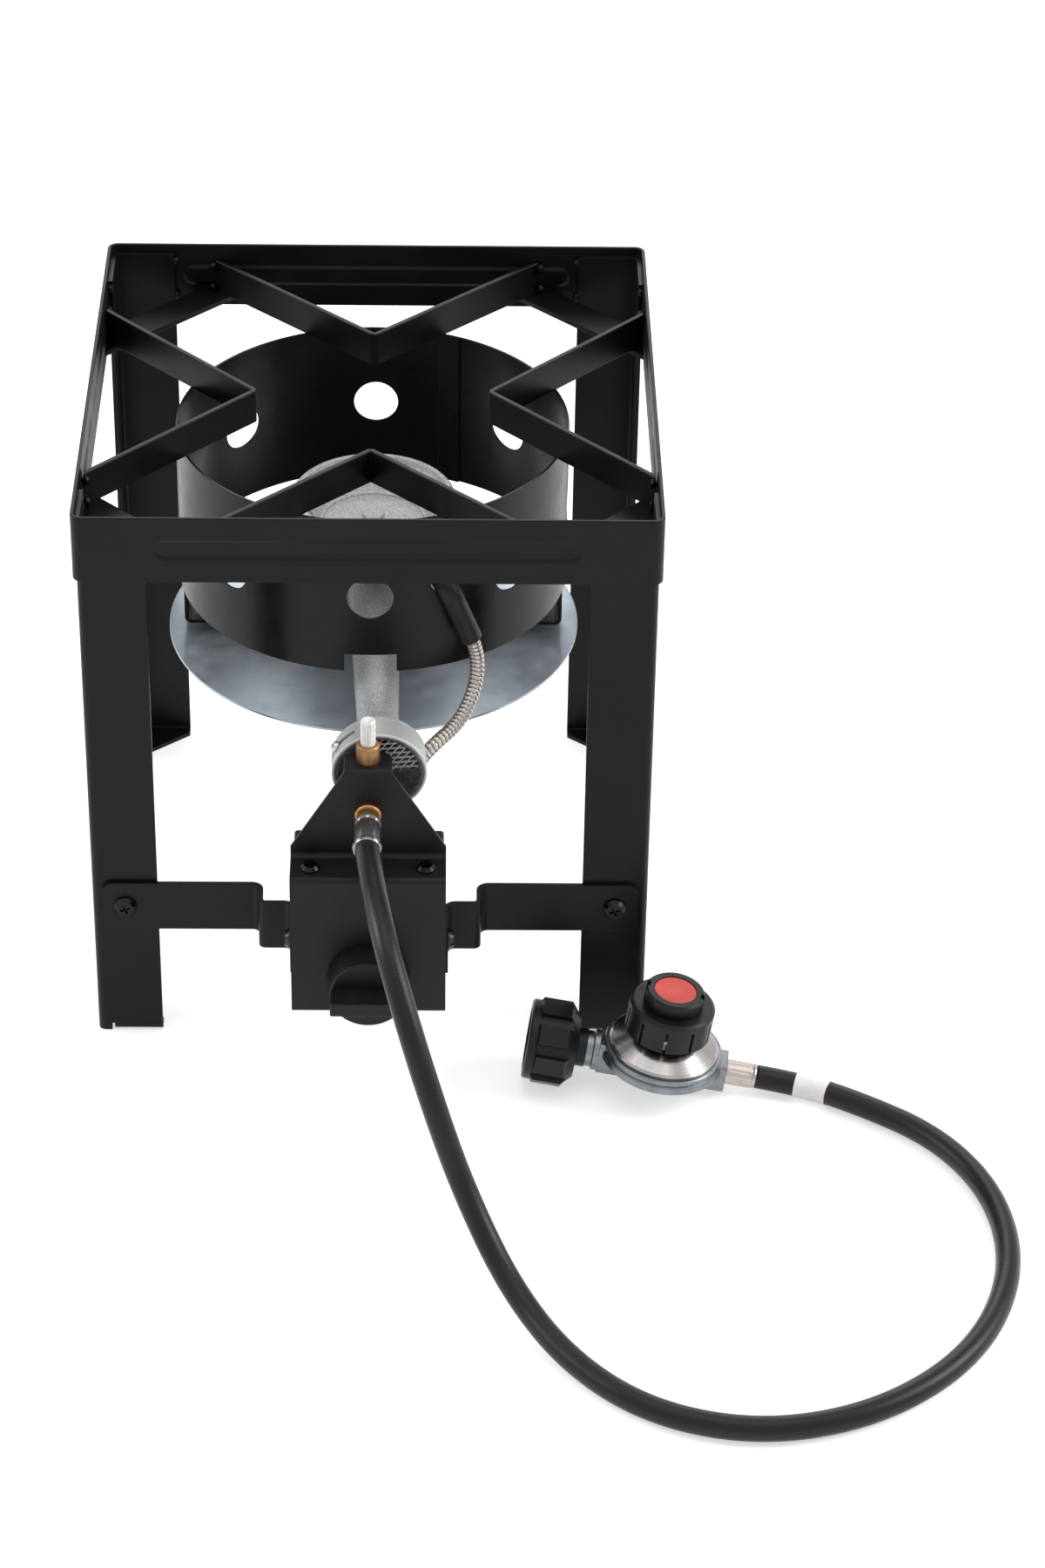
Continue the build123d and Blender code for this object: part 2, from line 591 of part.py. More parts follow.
def valve_body():
    body = Pos(0, VALVE_Y, 0) * turned(
        (0, VALVE_LOW), (VALVE_RADIUS, VALVE_LOW), (VALVE_RADIUS, TAB_LOW - 4), (6, TAB_LOW - 1),
        (6, TAB_LOW), (4.9, TAB_LOW), (4.9, NECK_TOP), (0, NECK_TOP))
    back = UPRIGHT_Y + PANEL_SHEET
    body += rod((0, VALVE_Y, INLET_Z), (0, back, INLET_Z), 7.0)
    body += rod((0, VALVE_Y, INLET_Z), (0, FERRULE_START, INLET_Z), 5.0)
    body += rod((MOUTH_X, VALVE_Y, MOUTH_Z), (MOUTH_X, OUTLET_END, MOUTH_Z), 5.2)
    body -= rod((0, VALVE_Y, INLET_Z), (0, FERRULE_START - 1, INLET_Z), 2.5)
    body -= rod((MOUTH_X, VALVE_Y, MOUTH_Z), (MOUTH_X, OUTLET_END + 1, MOUTH_Z), 2.0)
    body -= rod((0, VALVE_Y, MOUTH_Z), (MOUTH_X, VALVE_Y, MOUTH_Z), 2.0)
    body -= rod((0, VALVE_Y, INLET_Z), (0, VALVE_Y, NECK_TOP + 1), STEM_RADIUS + RUN_GAP)
    return body - rod((0, VALVE_Y, SPRING_SEAT), (0, VALVE_Y, NECK_TOP + 1), 3.5)


def orifice():
    start = OUTLET_END
    jet = Pos(MOUTH_X, start, MOUTH_Z) * Rot(-90, 0, 0) * turned(
        (0, 0), (ORIFICE_RADIUS, 0), (ORIFICE_RADIUS, ORIFICE_LENGTH - 3), (1.6, ORIFICE_LENGTH),
        (0, ORIFICE_LENGTH))
    end = start + ORIFICE_LENGTH
    return jet - rod((MOUTH_X, start - 1, MOUTH_Z), (MOUTH_X, end + 1, MOUTH_Z), 0.7)


def magnet_unit():
    return hexagon((0, VALVE_Y, VALVE_LOW - MAGNET_HEIGHT), (0, VALVE_Y, VALVE_LOW), 2 * MAGNET_RADIUS)


def magnet_lead():
    return rod((0, VALVE_Y, HOUSING_TOP - 6), (0, VALVE_Y, VALVE_LOW - MAGNET_HEIGHT), 2.4)


def button_collar():
    top = TAB_TOP + COLLAR_HEIGHT
    collar = turned(
        (0, TAB_TOP), (COLLAR_RADIUS, TAB_TOP), (COLLAR_RADIUS, top - 1.2), (COLLAR_RADIUS - 1, top),
        (0, top))
    collar -= rod((0, 0, TAB_TOP - 1), (0, 0, NECK_TOP + 0.3), 4.9 + THREAD_GAP)
    return Pos(0, VALVE_Y, 0) * (collar - rod((0, 0, TAB_TOP), (0, 0, top + 1), BUTTON_RADIUS + RUN_GAP))


def reset_button():
    cap = turned(
        (0, BUTTON_LOW), (BUTTON_RADIUS, BUTTON_LOW), (BUTTON_RADIUS, BUTTON_TOP - 0.8),
        (BUTTON_RADIUS - 0.6, BUTTON_TOP), (BUTTON_RADIUS - 1.4, BUTTON_TOP), (0, BUTTON_TOP - 0.9))
    for number in range(BUTTON_RIBS):
        turn = Rot(0, 0, number * 360 / BUTTON_RIBS)
        low = TAB_TOP + COLLAR_HEIGHT + 1
        groove = Pos(BUTTON_RADIUS, 0, low) * Rot(0, 0, 45) * Box(0.6, 0.6, BUTTON_RISE, align=UPRIGHT)
        cap -= turn * groove
    cap += rod((0, 0, STEM_LOW), (0, 0, BUTTON_LOW), STEM_RADIUS)
    return Pos(0, VALVE_Y, 0) * cap


def coil(low, high, radius, wire):
    """Hidden compression spring, as a sleeve of its coil's size."""
    ring = Circle(radius + wire) - Circle(radius - wire)
    return extrude(Pos(0, 0, low) * ring, high - low)


def button_spring():
    return Pos(0, VALVE_Y, 0) * coil(SPRING_SEAT, BUTTON_LOW, 2.55, 0.4)


# Panel and timer box

def control_panel():
    half = PANEL_WIDTH / 2
    tab_end = UPRIGHT_Y + TAB_LENGTH
    profile = bent_strip(
        ((PANEL_FRONT, PANEL_LOW), (PANEL_FRONT, STEP_Z), (UPRIGHT_Y, STEP_Z), (UPRIGHT_Y, TAB_TOP),
         (tab_end, TAB_TOP)), PANEL_BEND, PANEL_SHEET, Side.RIGHT)
    sheet = extrude(Plane.YZ * profile, half, both=True)
    tab = TAB_WIDTH / 2
    shoulder = STEP_Z + UPRIGHT_SHOULDER
    outline = make_face(Polyline(
        (-half, PANEL_LOW), (half, PANEL_LOW), (half, shoulder), (tab, TAB_TOP - 1), (tab, TAB_TOP + 1),
        (-tab, TAB_TOP + 1), (-tab, TAB_TOP - 1), (-half, shoulder), close=True))
    panel = sheet & extrude(Plane.XZ * outline, 2 * RIM_SIDE, both=True)
    for side in (-1, 1):
        x = side * (tab - TAB_CORNER / 2)
        corner = Pos(x, tab_end - TAB_CORNER / 2, TAB_TOP) * Box(TAB_CORNER, TAB_CORNER, 3 * PANEL_SHEET)
        round_off = Pos(side * (tab - TAB_CORNER), tab_end - TAB_CORNER, TAB_TOP) * Cylinder(TAB_CORNER, 10)
        panel -= corner - round_off
        hole_x = side * PANEL_SCREW_SPACING / 2
        panel -= Pos(hole_x, PANEL_SCREW_Y, STEP_Z) * Cylinder(SCREW_RADIUS + HOLE_GAP, 10)
    panel -= FACE * Cylinder(SHAFT_RADIUS + 1, 10)
    panel -= rod((0, UPRIGHT_Y - 2, INLET_Z), (0, UPRIGHT_Y + 4, INLET_Z), 5.0 + HOLE_GAP)
    return panel - Pos(0, VALVE_Y, TAB_TOP) * Cylinder(4.9 + HOLE_GAP, 8)


def timer_housing():
    half = HOUSING_WIDTH / 2
    outer = block((-half, half), (HOUSING_FRONT, HOUSING_BACK), (HOUSING_LOW, HOUSING_TOP))
    outer = fillet(outer.edges().filter_by(Axis.Y), 2.0)
    inner = half - HOUSING_SHEET
    box = outer - block((-inner, inner), (HOUSING_FRONT - 1, HOUSING_BACK - HOUSING_SHEET),
                        (HOUSING_LOW + HOUSING_SHEET, HOUSING_TOP - HOUSING_SHEET))
    for side in (-1, 1):
        box -= rod((side * (half - 4), FLANGE_Y, BAR_Z), (side * (half + 4), FLANGE_Y, BAR_Z),
                   SCREW_RADIUS + HOLE_GAP)
        x = side * PANEL_SCREW_SPACING / 2
        box -= Pos(x, PANEL_SCREW_Y, HOUSING_TOP) * Cylinder(SCREW_RADIUS + HOLE_GAP, 8)
    box -= Pos(0, VALVE_Y, HOUSING_TOP) * Cylinder(2.4 + HOLE_GAP, 8)
    gland = lead_end()
    inside = (gland.X, HOUSING_BACK - 4, gland.Z)
    outside = (gland.X, HOUSING_BACK + 4, gland.Z)
    return box - rod(inside, outside, LEAD_RADIUS + HOLE_GAP)


def timer_movement():
    case = FACE * Pos(0, 0, -PANEL_SHEET) * extrude(RectangleRounded(48, 36, 3), -28)
    return case - FACE * Cylinder(SHAFT_RADIUS + SHAFT_GAP, 40)


def timer_switch():
    return FACE * Pos(0, 6, -PANEL_SHEET - 28) * extrude(RectangleRounded(20, 14, 1.5), -9)


def timer_shaft():
    rear = FACE * Pos(0, 0, -20)
    tip = FACE * Pos(0, 0, KNOB_DEPTH - 4)
    return rod(rear.position, tip.position, SHAFT_RADIUS)


def timer_knob():
    """Skirt with a flat face and a grip bar that stands out in front of it."""
    base = KNOB_DIAMETER / 2
    face = KNOB_FACE / 2
    step = RUN_GAP + KNOB_DEPTH
    knob = turned((0, RUN_GAP), (base, RUN_GAP), (face, step - 0.8), (face - 0.8, step), (0, step))
    bar = Pos(0, 0, step) * extrude(RectangleRounded(2 * face - 0.8, KNOB_GRIP, 1.2), KNOB_GRIP_DEPTH)
    knob += fillet(bar.edges().group_by(Axis.Z)[-1], EDGE_ROUND)
    knob -= Pos(0, 0, (KNOB_DEPTH - 4) / 2) * Cylinder(SHAFT_RADIUS + THREAD_GAP, KNOB_DEPTH - 4)
    return FACE * knob


def panel_screws():
    screws = []
    for side in (-1, 1):
        x = side * PANEL_SCREW_SPACING / 2
        y = PANEL_SCREW_Y
        screws.append(cross_screw(
            (x, y, STEP_Z), (x, y, STEP_Z + SMALL_HEAD_HEIGHT), (x, y, STEP_Z - PANEL_SCREW_LENGTH),
            PANEL_SCREW_HEAD, SCREW_RADIUS))
    return Compound(children=screws)


def crossbar(side):
    """Bar from a front leg to the side of the timer box; side is 1 for right, -1 for left."""
    inner = HOUSING_WIDTH / 2 + BAR_SHEET
    outer = LEG_PLANE - BAR_END_INSET
    deep = HOUSING_BACK - 4
    profile = bent_strip(
        ((outer, BAR_FACE), (BAR_JOG_X, BAR_FACE), (BAR_JOG_X, deep), (inner, deep),
         (inner, deep - BAR_FLANGE)), BAR_BEND, BAR_SHEET, Side.RIGHT)
    bar = extrude(Pos(0, 0, BAR_Z - BAR_HEIGHT / 2) * profile, BAR_HEIGHT)
    bar = fillet(bar.edges().filter_by(Axis.Y).group_by(Axis.X)[-1], 6)
    hole_x = LEG_PLANE - LEG_SCREW_INSET
    bar -= rod((hole_x, BAR_FACE - 1, BAR_Z), (hole_x, BAR_FACE + 5, BAR_Z), SCREW_RADIUS + HOLE_GAP)
    bar -= rod((inner - 5, FLANGE_Y, BAR_Z), (inner + 5, FLANGE_Y, BAR_Z), SCREW_RADIUS + HOLE_GAP)
    return bar if side > 0 else mirror(bar, Plane.YZ)


def leg_screws():
    screws = []
    for side in (-1, 1):
        x = side * (LEG_PLANE - LEG_SCREW_INSET)
        screws.append(cross_screw(
            (x, BAR_FACE, BAR_Z), (x, BAR_FACE - LEG_HEAD_HEIGHT, BAR_Z),
            (x, BAR_FACE + LEG_SCREW_LENGTH, BAR_Z), LEG_SCREW_HEAD, SCREW_RADIUS))
    return Compound(children=screws)


def leg_nuts():
    nuts = []
    for side in (-1, 1):
        x = side * (LEG_PLANE - LEG_SCREW_INSET)
        seat = -LEG_PLANE + LEG_SHEET
        top = seat + LEG_NUT_HEIGHT
        nut = hexagon((x, seat, BAR_Z), (x, top, BAR_Z), LEG_NUT_AF)
        nuts.append(nut - rod((x, seat - 1, BAR_Z), (x, top + 1, BAR_Z), SCREW_RADIUS + THREAD_GAP))
    return Compound(children=nuts)


def side_screws():
    screws = []
    for side in (-1, 1):
        x = side * (HOUSING_WIDTH / 2 + BAR_SHEET)
        screws.append(cross_screw(
            (x, FLANGE_Y, BAR_Z), (x + side * SMALL_HEAD_HEIGHT, FLANGE_Y, BAR_Z),
            (x - side * SIDE_SCREW_LENGTH, FLANGE_Y, BAR_Z), SIDE_SCREW_HEAD, SCREW_RADIUS))
    return Compound(children=screws)


# Flame sensor

def around(radius, angle, z):
    """Point at a radius, turned to the right from the front."""
    return Vector(radius * sin(radians(angle)), -radius * cos(radians(angle)), z)


SENSOR_Z = SUPPORT_LOW - SENSOR_DROP
SLEEVE_FOOT = around(SHIELD_RADIUS + 9.0, 27.6, SENSOR_Z - 33.5)
SLEEVE_TURN = around(SHIELD_RADIUS + 9.5, SENSOR_ANGLE, SENSOR_Z)
SLEEVE_HEAD = around(SHIELD_RADIUS - 10.0, SENSOR_ANGLE, SENSOR_Z)


def sleeve_path():
    return FilletPolyline(SLEEVE_FOOT, SLEEVE_TURN, SLEEVE_HEAD, radius=8.5)


def swept_rod(path, radius):
    """Round section carried along a path."""
    return sweep(Plane(path @ 0, z_dir=path % 0) * Circle(radius), path=path)


def thermocouple_sleeve():
    return swept_rod(sleeve_path(), SLEEVE_RADIUS)


def thermocouple_probe():
    back = around(SHIELD_RADIUS - 10.0, SENSOR_ANGLE, SENSOR_Z)
    step = around(SHIELD_RADIUS - 24.0, SENSOR_ANGLE, SENSOR_Z)
    tip = around(PROBE_TIP, SENSOR_ANGLE, SENSOR_Z)
    probe = rod(back, step, PROBE_COLLAR) + rod(step, tip, PROBE_RADIUS)
    return fillet(probe.edges().filter_by(GeomType.CIRCLE).sort_by_distance(tip)[0], 1.2)


def lead_end():
    return Vector(12.0, HOUSING_BACK, HOUSING_TOP - 41.0)


def lead_path():
    down = (SLEEVE_FOOT - SLEEVE_TURN).normalized()
    rear = MOUTH_Y + 29.0
    end = lead_end()
    points = [
        SLEEVE_FOOT,
        SLEEVE_FOOT + down * 18,
        Vector(51, rear + 21, MOUTH_Z + 2),
        Vector(30, rear, MOUTH_Z - 5.5),
        Vector(17, rear, MOUTH_Z - 28.5),
        Vector(end.X, rear + 12, end.Z + 22),
        Vector(end.X, rear + 2, end.Z),
        Vector(end.X, end.Y + GLAND_SHEET, end.Z),
    ]
    radii = arc_radii(points)
    return FilletPolyline(*points, radius=radii), radii


def arc_radii(points):
    """Largest even arcs for a route: 0.45 of the shorter run over the tangent of half the turn."""
    radii = []
    for before, here, after in zip(points, points[1:], points[2:]):
        first = here - before
        second = after - here
        turn = first.get_angle(second)
        radii.append(0.45 * min(first.length, second.length) / tan(radians(turn / 2)))
    return radii


def steady_planes(path, shares):
    """Section planes along a path whose X axis is carried on without twist."""
    planes = []
    across = Vector(1, 0, 0)
    for share in shares:
        tangent = path % share
        across = (across - tangent * across.dot(tangent)).normalized()
        planes.append(Plane(origin=path @ share, x_dir=across, z_dir=tangent))
    return planes


def thermocouple_lead():
    path, radii = lead_path()
    length = path.length
    end = 2 * LEAD_RADIUS / length
    shares = [0.0]
    sizes = [LEAD_RADIUS - LEAD_RIB_DEPTH]
    pitch = (1 - 2 * end) / LEAD_RIBS
    steps = ((0.0, 0), (0.22, 1), (0.62, 1), (0.84, 0))
    for number in range(LEAD_RIBS):
        for part, raised in steps:
            shares.append(end + (number + part) * pitch)
            sizes.append(LEAD_RADIUS - (0 if raised else LEAD_RIB_DEPTH))
    shares += [1 - end, 1.0]
    sizes += [LEAD_RADIUS - LEAD_RIB_DEPTH] * 2
    planes = steady_planes(path, shares)
    solid = loft([plane * Circle(size) for plane, size in zip(planes, sizes)], ruled=True)
    bore = loft([plane * Circle(LEAD_BORE) for plane in planes[::8] + planes[-1:]], ruled=True)
    return solid - bore


def lead_gland():
    end = lead_end()
    ring = rod((end.X, end.Y, end.Z), (end.X, end.Y + GLAND_SHEET, end.Z), 7.0)
    ring += rod((end.X, end.Y, end.Z), (end.X, end.Y - 4, end.Z), LEAD_RADIUS)
    return ring - rod((end.X, end.Y + 3, end.Z), (end.X, end.Y - 5, end.Z), LEAD_BORE)


# Hose and its ends

def inlet_nut():
    """Round brass nut with a wide flange on the plate and a narrower neck."""
    inner = 5.0 + THREAD_GAP
    outer = INLET_NUT_RADIUS
    return Pos(0, UPRIGHT_Y, INLET_Z) * Rot(90, 0, 0) * turned(
        (inner, 0), (outer, 0), (outer, 3.4), (outer - 0.6, 4.2), (outer - 1.1, 4.2),
        (outer - 1.1, INLET_NUT_LENGTH), (inner, INLET_NUT_LENGTH))


def crimped(length, flared):
    """Crimped hose end along Z with pressed flutes and an end ring."""
    ring = FERRULE_END_RADIUS if flared else FERRULE_RADIUS
    start = length - FERRULE_END
    solid = turned(
        (0, 0), (FERRULE_RADIUS, 0), (FERRULE_RADIUS, start), (ring - 0.5, start + 0.4), (ring, start + 1.4),
        (ring, length - 1.4), (ring - 0.8, length), (0, length))
    for number in range(8):
        groove = Pos(FERRULE_RADIUS + 0.9, 0, 1.5) * Cylinder(1.3, start - 3, align=UPRIGHT)
        solid -= Rot(0, 0, number * 45) * groove
    return solid - Pos(0, 0, -1) * Cylinder(FERRULE_BORE, length + 2, align=UPRIGHT)


def hose_ferrule_burner():
    return Pos(0, FERRULE_START, INLET_Z) * Rot(90, 0, 0) * crimped(FERRULE_LENGTH, True)


def hose_ferrule_regulator():
    return REGULATOR * Pos(OUTLET_REACH, 0, 0) * TOWARD_X * crimped(OUTLET_FERRULE, False)


def hose_route():
    """Points of the hose: a drop from the burner, a wide loop on the floor, back to the regulator."""
    floor = HOSE_RADIUS + 0.1
    fall = INLET_Z - floor
    start_y = HOSE_START_Y
    end = REGULATOR * Pos(OUTLET_REACH + OUTLET_FERRULE, 0, 0)
    return [
        Vector(0, start_y, INLET_Z),
        Vector(5.7, start_y - 53.3, floor + fall),
        Vector(19.4, start_y - 94.8, floor + 0.822 * fall),
        Vector(35, start_y - 115, floor + 0.544 * fall),
        Vector(51.9, start_y - 126, floor + 0.254 * fall),
        Vector(75.2, -385.5, floor + 0.053 * fall),
        Vector(103.7, -429.4, floor),
        Vector(142.2, -465.8, floor),
        Vector(193.1, -480.6, floor),
        Vector(245.4, -470.6, floor),
        Vector(290.2, -441.1, floor),
        Vector(320.3, -399.9, floor),
        Vector(335.1, -347.6, floor),
        Vector(329, -293.6, floor),
        Vector(303.3, -249.1, floor),
        Vector(261, -219.5, floor + PAPER_SHEET),
        Vector(233, -206, floor + 2 * PAPER_SHEET),
        end.position,
    ]


def hose_path():
    """Route of the hose, run on a little into both ferrules."""
    points = hose_route()
    points[0] += (points[0] - points[1]).normalized() * HOSE_OVERRUN
    points[-1] += (points[-1] - points[-2]).normalized() * HOSE_OVERRUN
    radii = arc_radii(points)
    return FilletPolyline(*points, radius=radii), radii


def gas_hose():
    """Rubber hose, cut square where it meets the two ferrules."""
    path, radii = hose_path()
    hose = swept_rod(path, HOSE_RADIUS)
    ratio = hose.volume / (pi * HOSE_RADIUS ** 2 * path.length)
    print("hose radii", [round(radius) for radius in radii])
    print("hose length", round(path.length, 1), "volume over section times length", round(ratio, 4))
    size = 4 * HOSE_RADIUS
    hose -= Pos(0, HOSE_START_Y, INLET_Z) * Rot(-90, 0, 0) * Box(size, size, size, align=UPRIGHT)
    outlet = REGULATOR * Pos(OUTLET_REACH + OUTLET_FERRULE, 0, 0) * Rot(0, -90, 0)
    return hose - outlet * Box(size, size, size, align=UPRIGHT)


def hose_sleeve():
    """Bare paper sleeve near the regulator, over the start of the last bend."""
    path, radii = hose_path()
    edges = path.edges()
    bend = edges.filter_by(GeomType.CIRCLE).sort_by_distance(hose_route()[-1])[0]
    run = edges.filter_by(GeomType.LINE).sort_by_distance(bend @ 0)[0]
    piece = Wire([run.trim(1 - PAPER_RUN / run.length, 1.0), bend.trim(0.0, PAPER_BEND)])
    inner = HOSE_RADIUS + PAPER_GAP
    return swept_rod(piece, inner + PAPER_SHEET) - swept_rod(piece, inner)


# Regulator, built with its gas passage along X and its adjuster along Z

FLANGE_TOP = FLANGE_BASE + FLANGE_HEIGHT
CRIMP_TOP = FLANGE_TOP + CRIMP_HEIGHT
BONNET_LOW = FLANGE_TOP + DIAPHRAGM_SHEET
BONNET_TOP = CRIMP_TOP + BONNET_RISE + 5.0
COLLAR_LOW = CRIMP_TOP + 12.0
COLLAR_TOP = COLLAR_LOW + COLLAR_DROP
ADJUST_LOW = COLLAR_TOP + RUN_GAP
ADJUST_TOP = ADJUST_LOW + ADJUST_HEIGHT


def boss_block(start, end, width):
    """Square boss with rounded edges along X."""
    half = width / 2
    boss = block((start, end), (-half, half), (-half, half))
    return fillet(boss.edges().filter_by(Axis.X), BOSS_ROUND)


def regulator_body():
    body = turned(
        (0, -CUP_DEPTH), (14, -CUP_DEPTH), (18, -CUP_DEPTH + 2), (21.5, FLANGE_BASE - 2), (26, FLANGE_BASE),
        (FLANGE_RADIUS - 0.8, FLANGE_BASE), (FLANGE_RADIUS, FLANGE_BASE + 0.8),
        (FLANGE_RADIUS, FLANGE_TOP - 0.8), (FLANGE_RADIUS - 0.5, FLANGE_TOP), (CRIMP_RADIUS, FLANGE_TOP),
        (CRIMP_RADIUS, CRIMP_TOP - 0.6),
        (CRIMP_RADIUS - 0.6, CRIMP_TOP), (BONNET_RADIUS + HOLE_GAP, CRIMP_TOP),
        (BONNET_RADIUS + HOLE_GAP, FLANGE_TOP), (17, FLANGE_TOP), (14, -5), (0, -5))
    body += boss_block(20, OUTLET_REACH, 2 * BOSS_RADIUS)
    nipple = INLET_REACH - RETAINER_LENGTH - 7.0
    body += boss_block(-nipple, -20, 2 * BOSS_RADIUS + 1.2)
    chamber = turned((0, -5), (14, -5), (17, FLANGE_TOP), (0, FLANGE_TOP))
    body -= chamber
    body -= Pos(0, 0, FLANGE_TOP) * Cylinder(BONNET_RADIUS + HOLE_GAP, 2 * FLANGE_RADIUS, align=UPRIGHT)
    return REGULATOR * (body - TOWARD_X * Cylinder(3, 4 * OUTLET_REACH))


def regulator_diaphragm():
    disc = Pos(0, 0, FLANGE_TOP) * Cylinder(BONNET_RADIUS - 0.5, DIAPHRAGM_SHEET, align=UPRIGHT)
    return REGULATOR * disc


def regulator_valve():
    return REGULATOR * turned((0, -5), (5, -5), (5, -3.5), (2, -3.5), (2, FLANGE_TOP), (0, FLANGE_TOP))


def regulator_bonnet():
    edge = CRIMP_TOP + 0.8
    shoulder = CRIMP_TOP + BONNET_RISE
    sheet = BONNET_SHEET
    shell = turned(
        (BONNET_RADIUS - 3, BONNET_LOW), (BONNET_RADIUS, BONNET_LOW), (BONNET_RADIUS, edge),
        (BONNET_RADIUS - 1.2, edge + 1.2), (BONNET_NECK + 2, shoulder), (BONNET_NECK, shoulder + 2),
        (BONNET_NECK, BONNET_TOP), (BONNET_NECK - 3, BONNET_TOP), (BONNET_NECK - 3, shoulder - sheet + 0.5),
        (BONNET_RADIUS - 3, edge - sheet + 0.8))
    return REGULATOR * shell


def regulator_spring():
    return REGULATOR * coil(BONNET_LOW, BONNET_TOP + 2.0, 7.5, 1.1)


def regulator_collar():
    top = COLLAR_TOP
    collar = turned(
        (ADJUST_STEM + RUN_GAP, BONNET_TOP), (BONNET_NECK + 1.5, BONNET_TOP), (BONNET_NECK + 1.5, top - 3.2),
        (COLLAR_OUTER - COLLAR_WALL, top - 3.2), (COLLAR_OUTER - COLLAR_WALL, COLLAR_LOW),
        (COLLAR_OUTER, COLLAR_LOW), (COLLAR_OUTER, top - 1.6), (COLLAR_OUTER - 1.6, top),
        (ADJUST_STEM + RUN_GAP, top))
    for number in range(COLLAR_SLOTS):
        slot = Box(2 * COLLAR_WALL + 1, COLLAR_SLOT_WIDTH, COLLAR_DROP - 3.6, align=UPRIGHT)
        turn = Rot(0, 0, number * 360 / COLLAR_SLOTS + 15)
        collar -= turn * Pos(COLLAR_OUTER, 0, COLLAR_LOW - 1) * slot
    return REGULATOR * collar


def regulator_knob():
    knob = turned(
        (0, BONNET_TOP + 2.0), (ADJUST_STEM, BONNET_TOP + 2.0), (ADJUST_STEM, ADJUST_LOW),
        (ADJUST_RADIUS, ADJUST_LOW), (ADJUST_RADIUS, ADJUST_TOP - 1), (ADJUST_RADIUS - 1, ADJUST_TOP),
        (LABEL_RADIUS + HOLE_GAP, ADJUST_TOP), (LABEL_RADIUS + HOLE_GAP, ADJUST_TOP - 1.2),
        (0, ADJUST_TOP - 1.2))
    for turn in (-8, 172):
        notch = Pos(ADJUST_RADIUS, 0, ADJUST_LOW - 1) * Box(4.4, 4, ADJUST_HEIGHT + 2, align=UPRIGHT)
        knob -= Rot(0, 0, turn) * notch
    return REGULATOR * knob


def knob_label():
    return REGULATOR * Pos(0, 0, ADJUST_TOP - 1.2) * Cylinder(LABEL_RADIUS, 0.7, align=UPRIGHT)


NUT_BACK = INLET_REACH + RUN_GAP
NUT_FRONT = NUT_BACK + NUT_LENGTH


def inlet_nipple():
    boss = INLET_REACH - RETAINER_LENGTH - 7.0
    flange = NUT_BACK + NUT_WALL + RUN_GAP
    nose = NUT_FRONT - NUT_THREAD - 0.5
    solid = turned(
        (3, boss), (11.2, boss), (11.2, boss + 3), (9.8, boss + 3.6), (9.8, boss + 7),
        (NIPPLE_RADIUS, boss + 7), (NIPPLE_RADIUS, flange), (12, flange), (12, flange + 2.5),
        (7.4, flange + 2.5), (7.4, nose - 3), (5, nose), (3, nose))
    return REGULATOR * Rot(0, -90, 0) * solid


def nut_retainer():
    ring = Circle(RETAINER_RADIUS) - Circle(NIPPLE_RADIUS + THREAD_GAP)
    solid = extrude(Pos(0, 0, INLET_REACH - RETAINER_LENGTH) * ring, RETAINER_LENGTH)
    return REGULATOR * Rot(0, -90, 0) * solid


def coupling_nut():
    """Hand nut: a turned core with raised flat pads around it."""
    relief = NUT_FRONT - NUT_THREAD
    nut = turned(
        (NIPPLE_RADIUS + 1, NUT_BACK), (NUT_RADIUS - 6.5, NUT_BACK), (NUT_CORE, NUT_BACK + 4),
        (NUT_CORE, NUT_FRONT - 5.2), (NUT_CORE + 1, NUT_FRONT - 4.6), (NUT_CORE + 1, NUT_FRONT - 1),
        (NUT_CORE, NUT_FRONT), (NUT_BORE, NUT_FRONT), (NUT_BORE, relief), (NUT_BORE + 0.7, relief - 0.7),
        (NUT_BORE + 0.7, NUT_BACK + NUT_WALL), (NIPPLE_RADIUS + 1, NUT_BACK + NUT_WALL))
    flat = sqrt(NUT_RADIUS ** 2 - (NUT_PAD_WIDTH / 2) ** 2)
    low = NUT_BACK + 3.0
    high = NUT_FRONT - 3.6
    root = NUT_CORE - 1.5
    side = make_face(Plane.XZ * Polyline(
        (root, low), (flat, low + 2.6), (flat, high - 2.0), (root, high), close=True))
    pad = extrude(side, NUT_PAD_WIDTH / 2, both=True)
    for number in range(NUT_PADS):
        nut += Rot(0, 0, number * 360 / NUT_PADS) * pad
    return REGULATOR * Rot(0, -90, 0) * nut


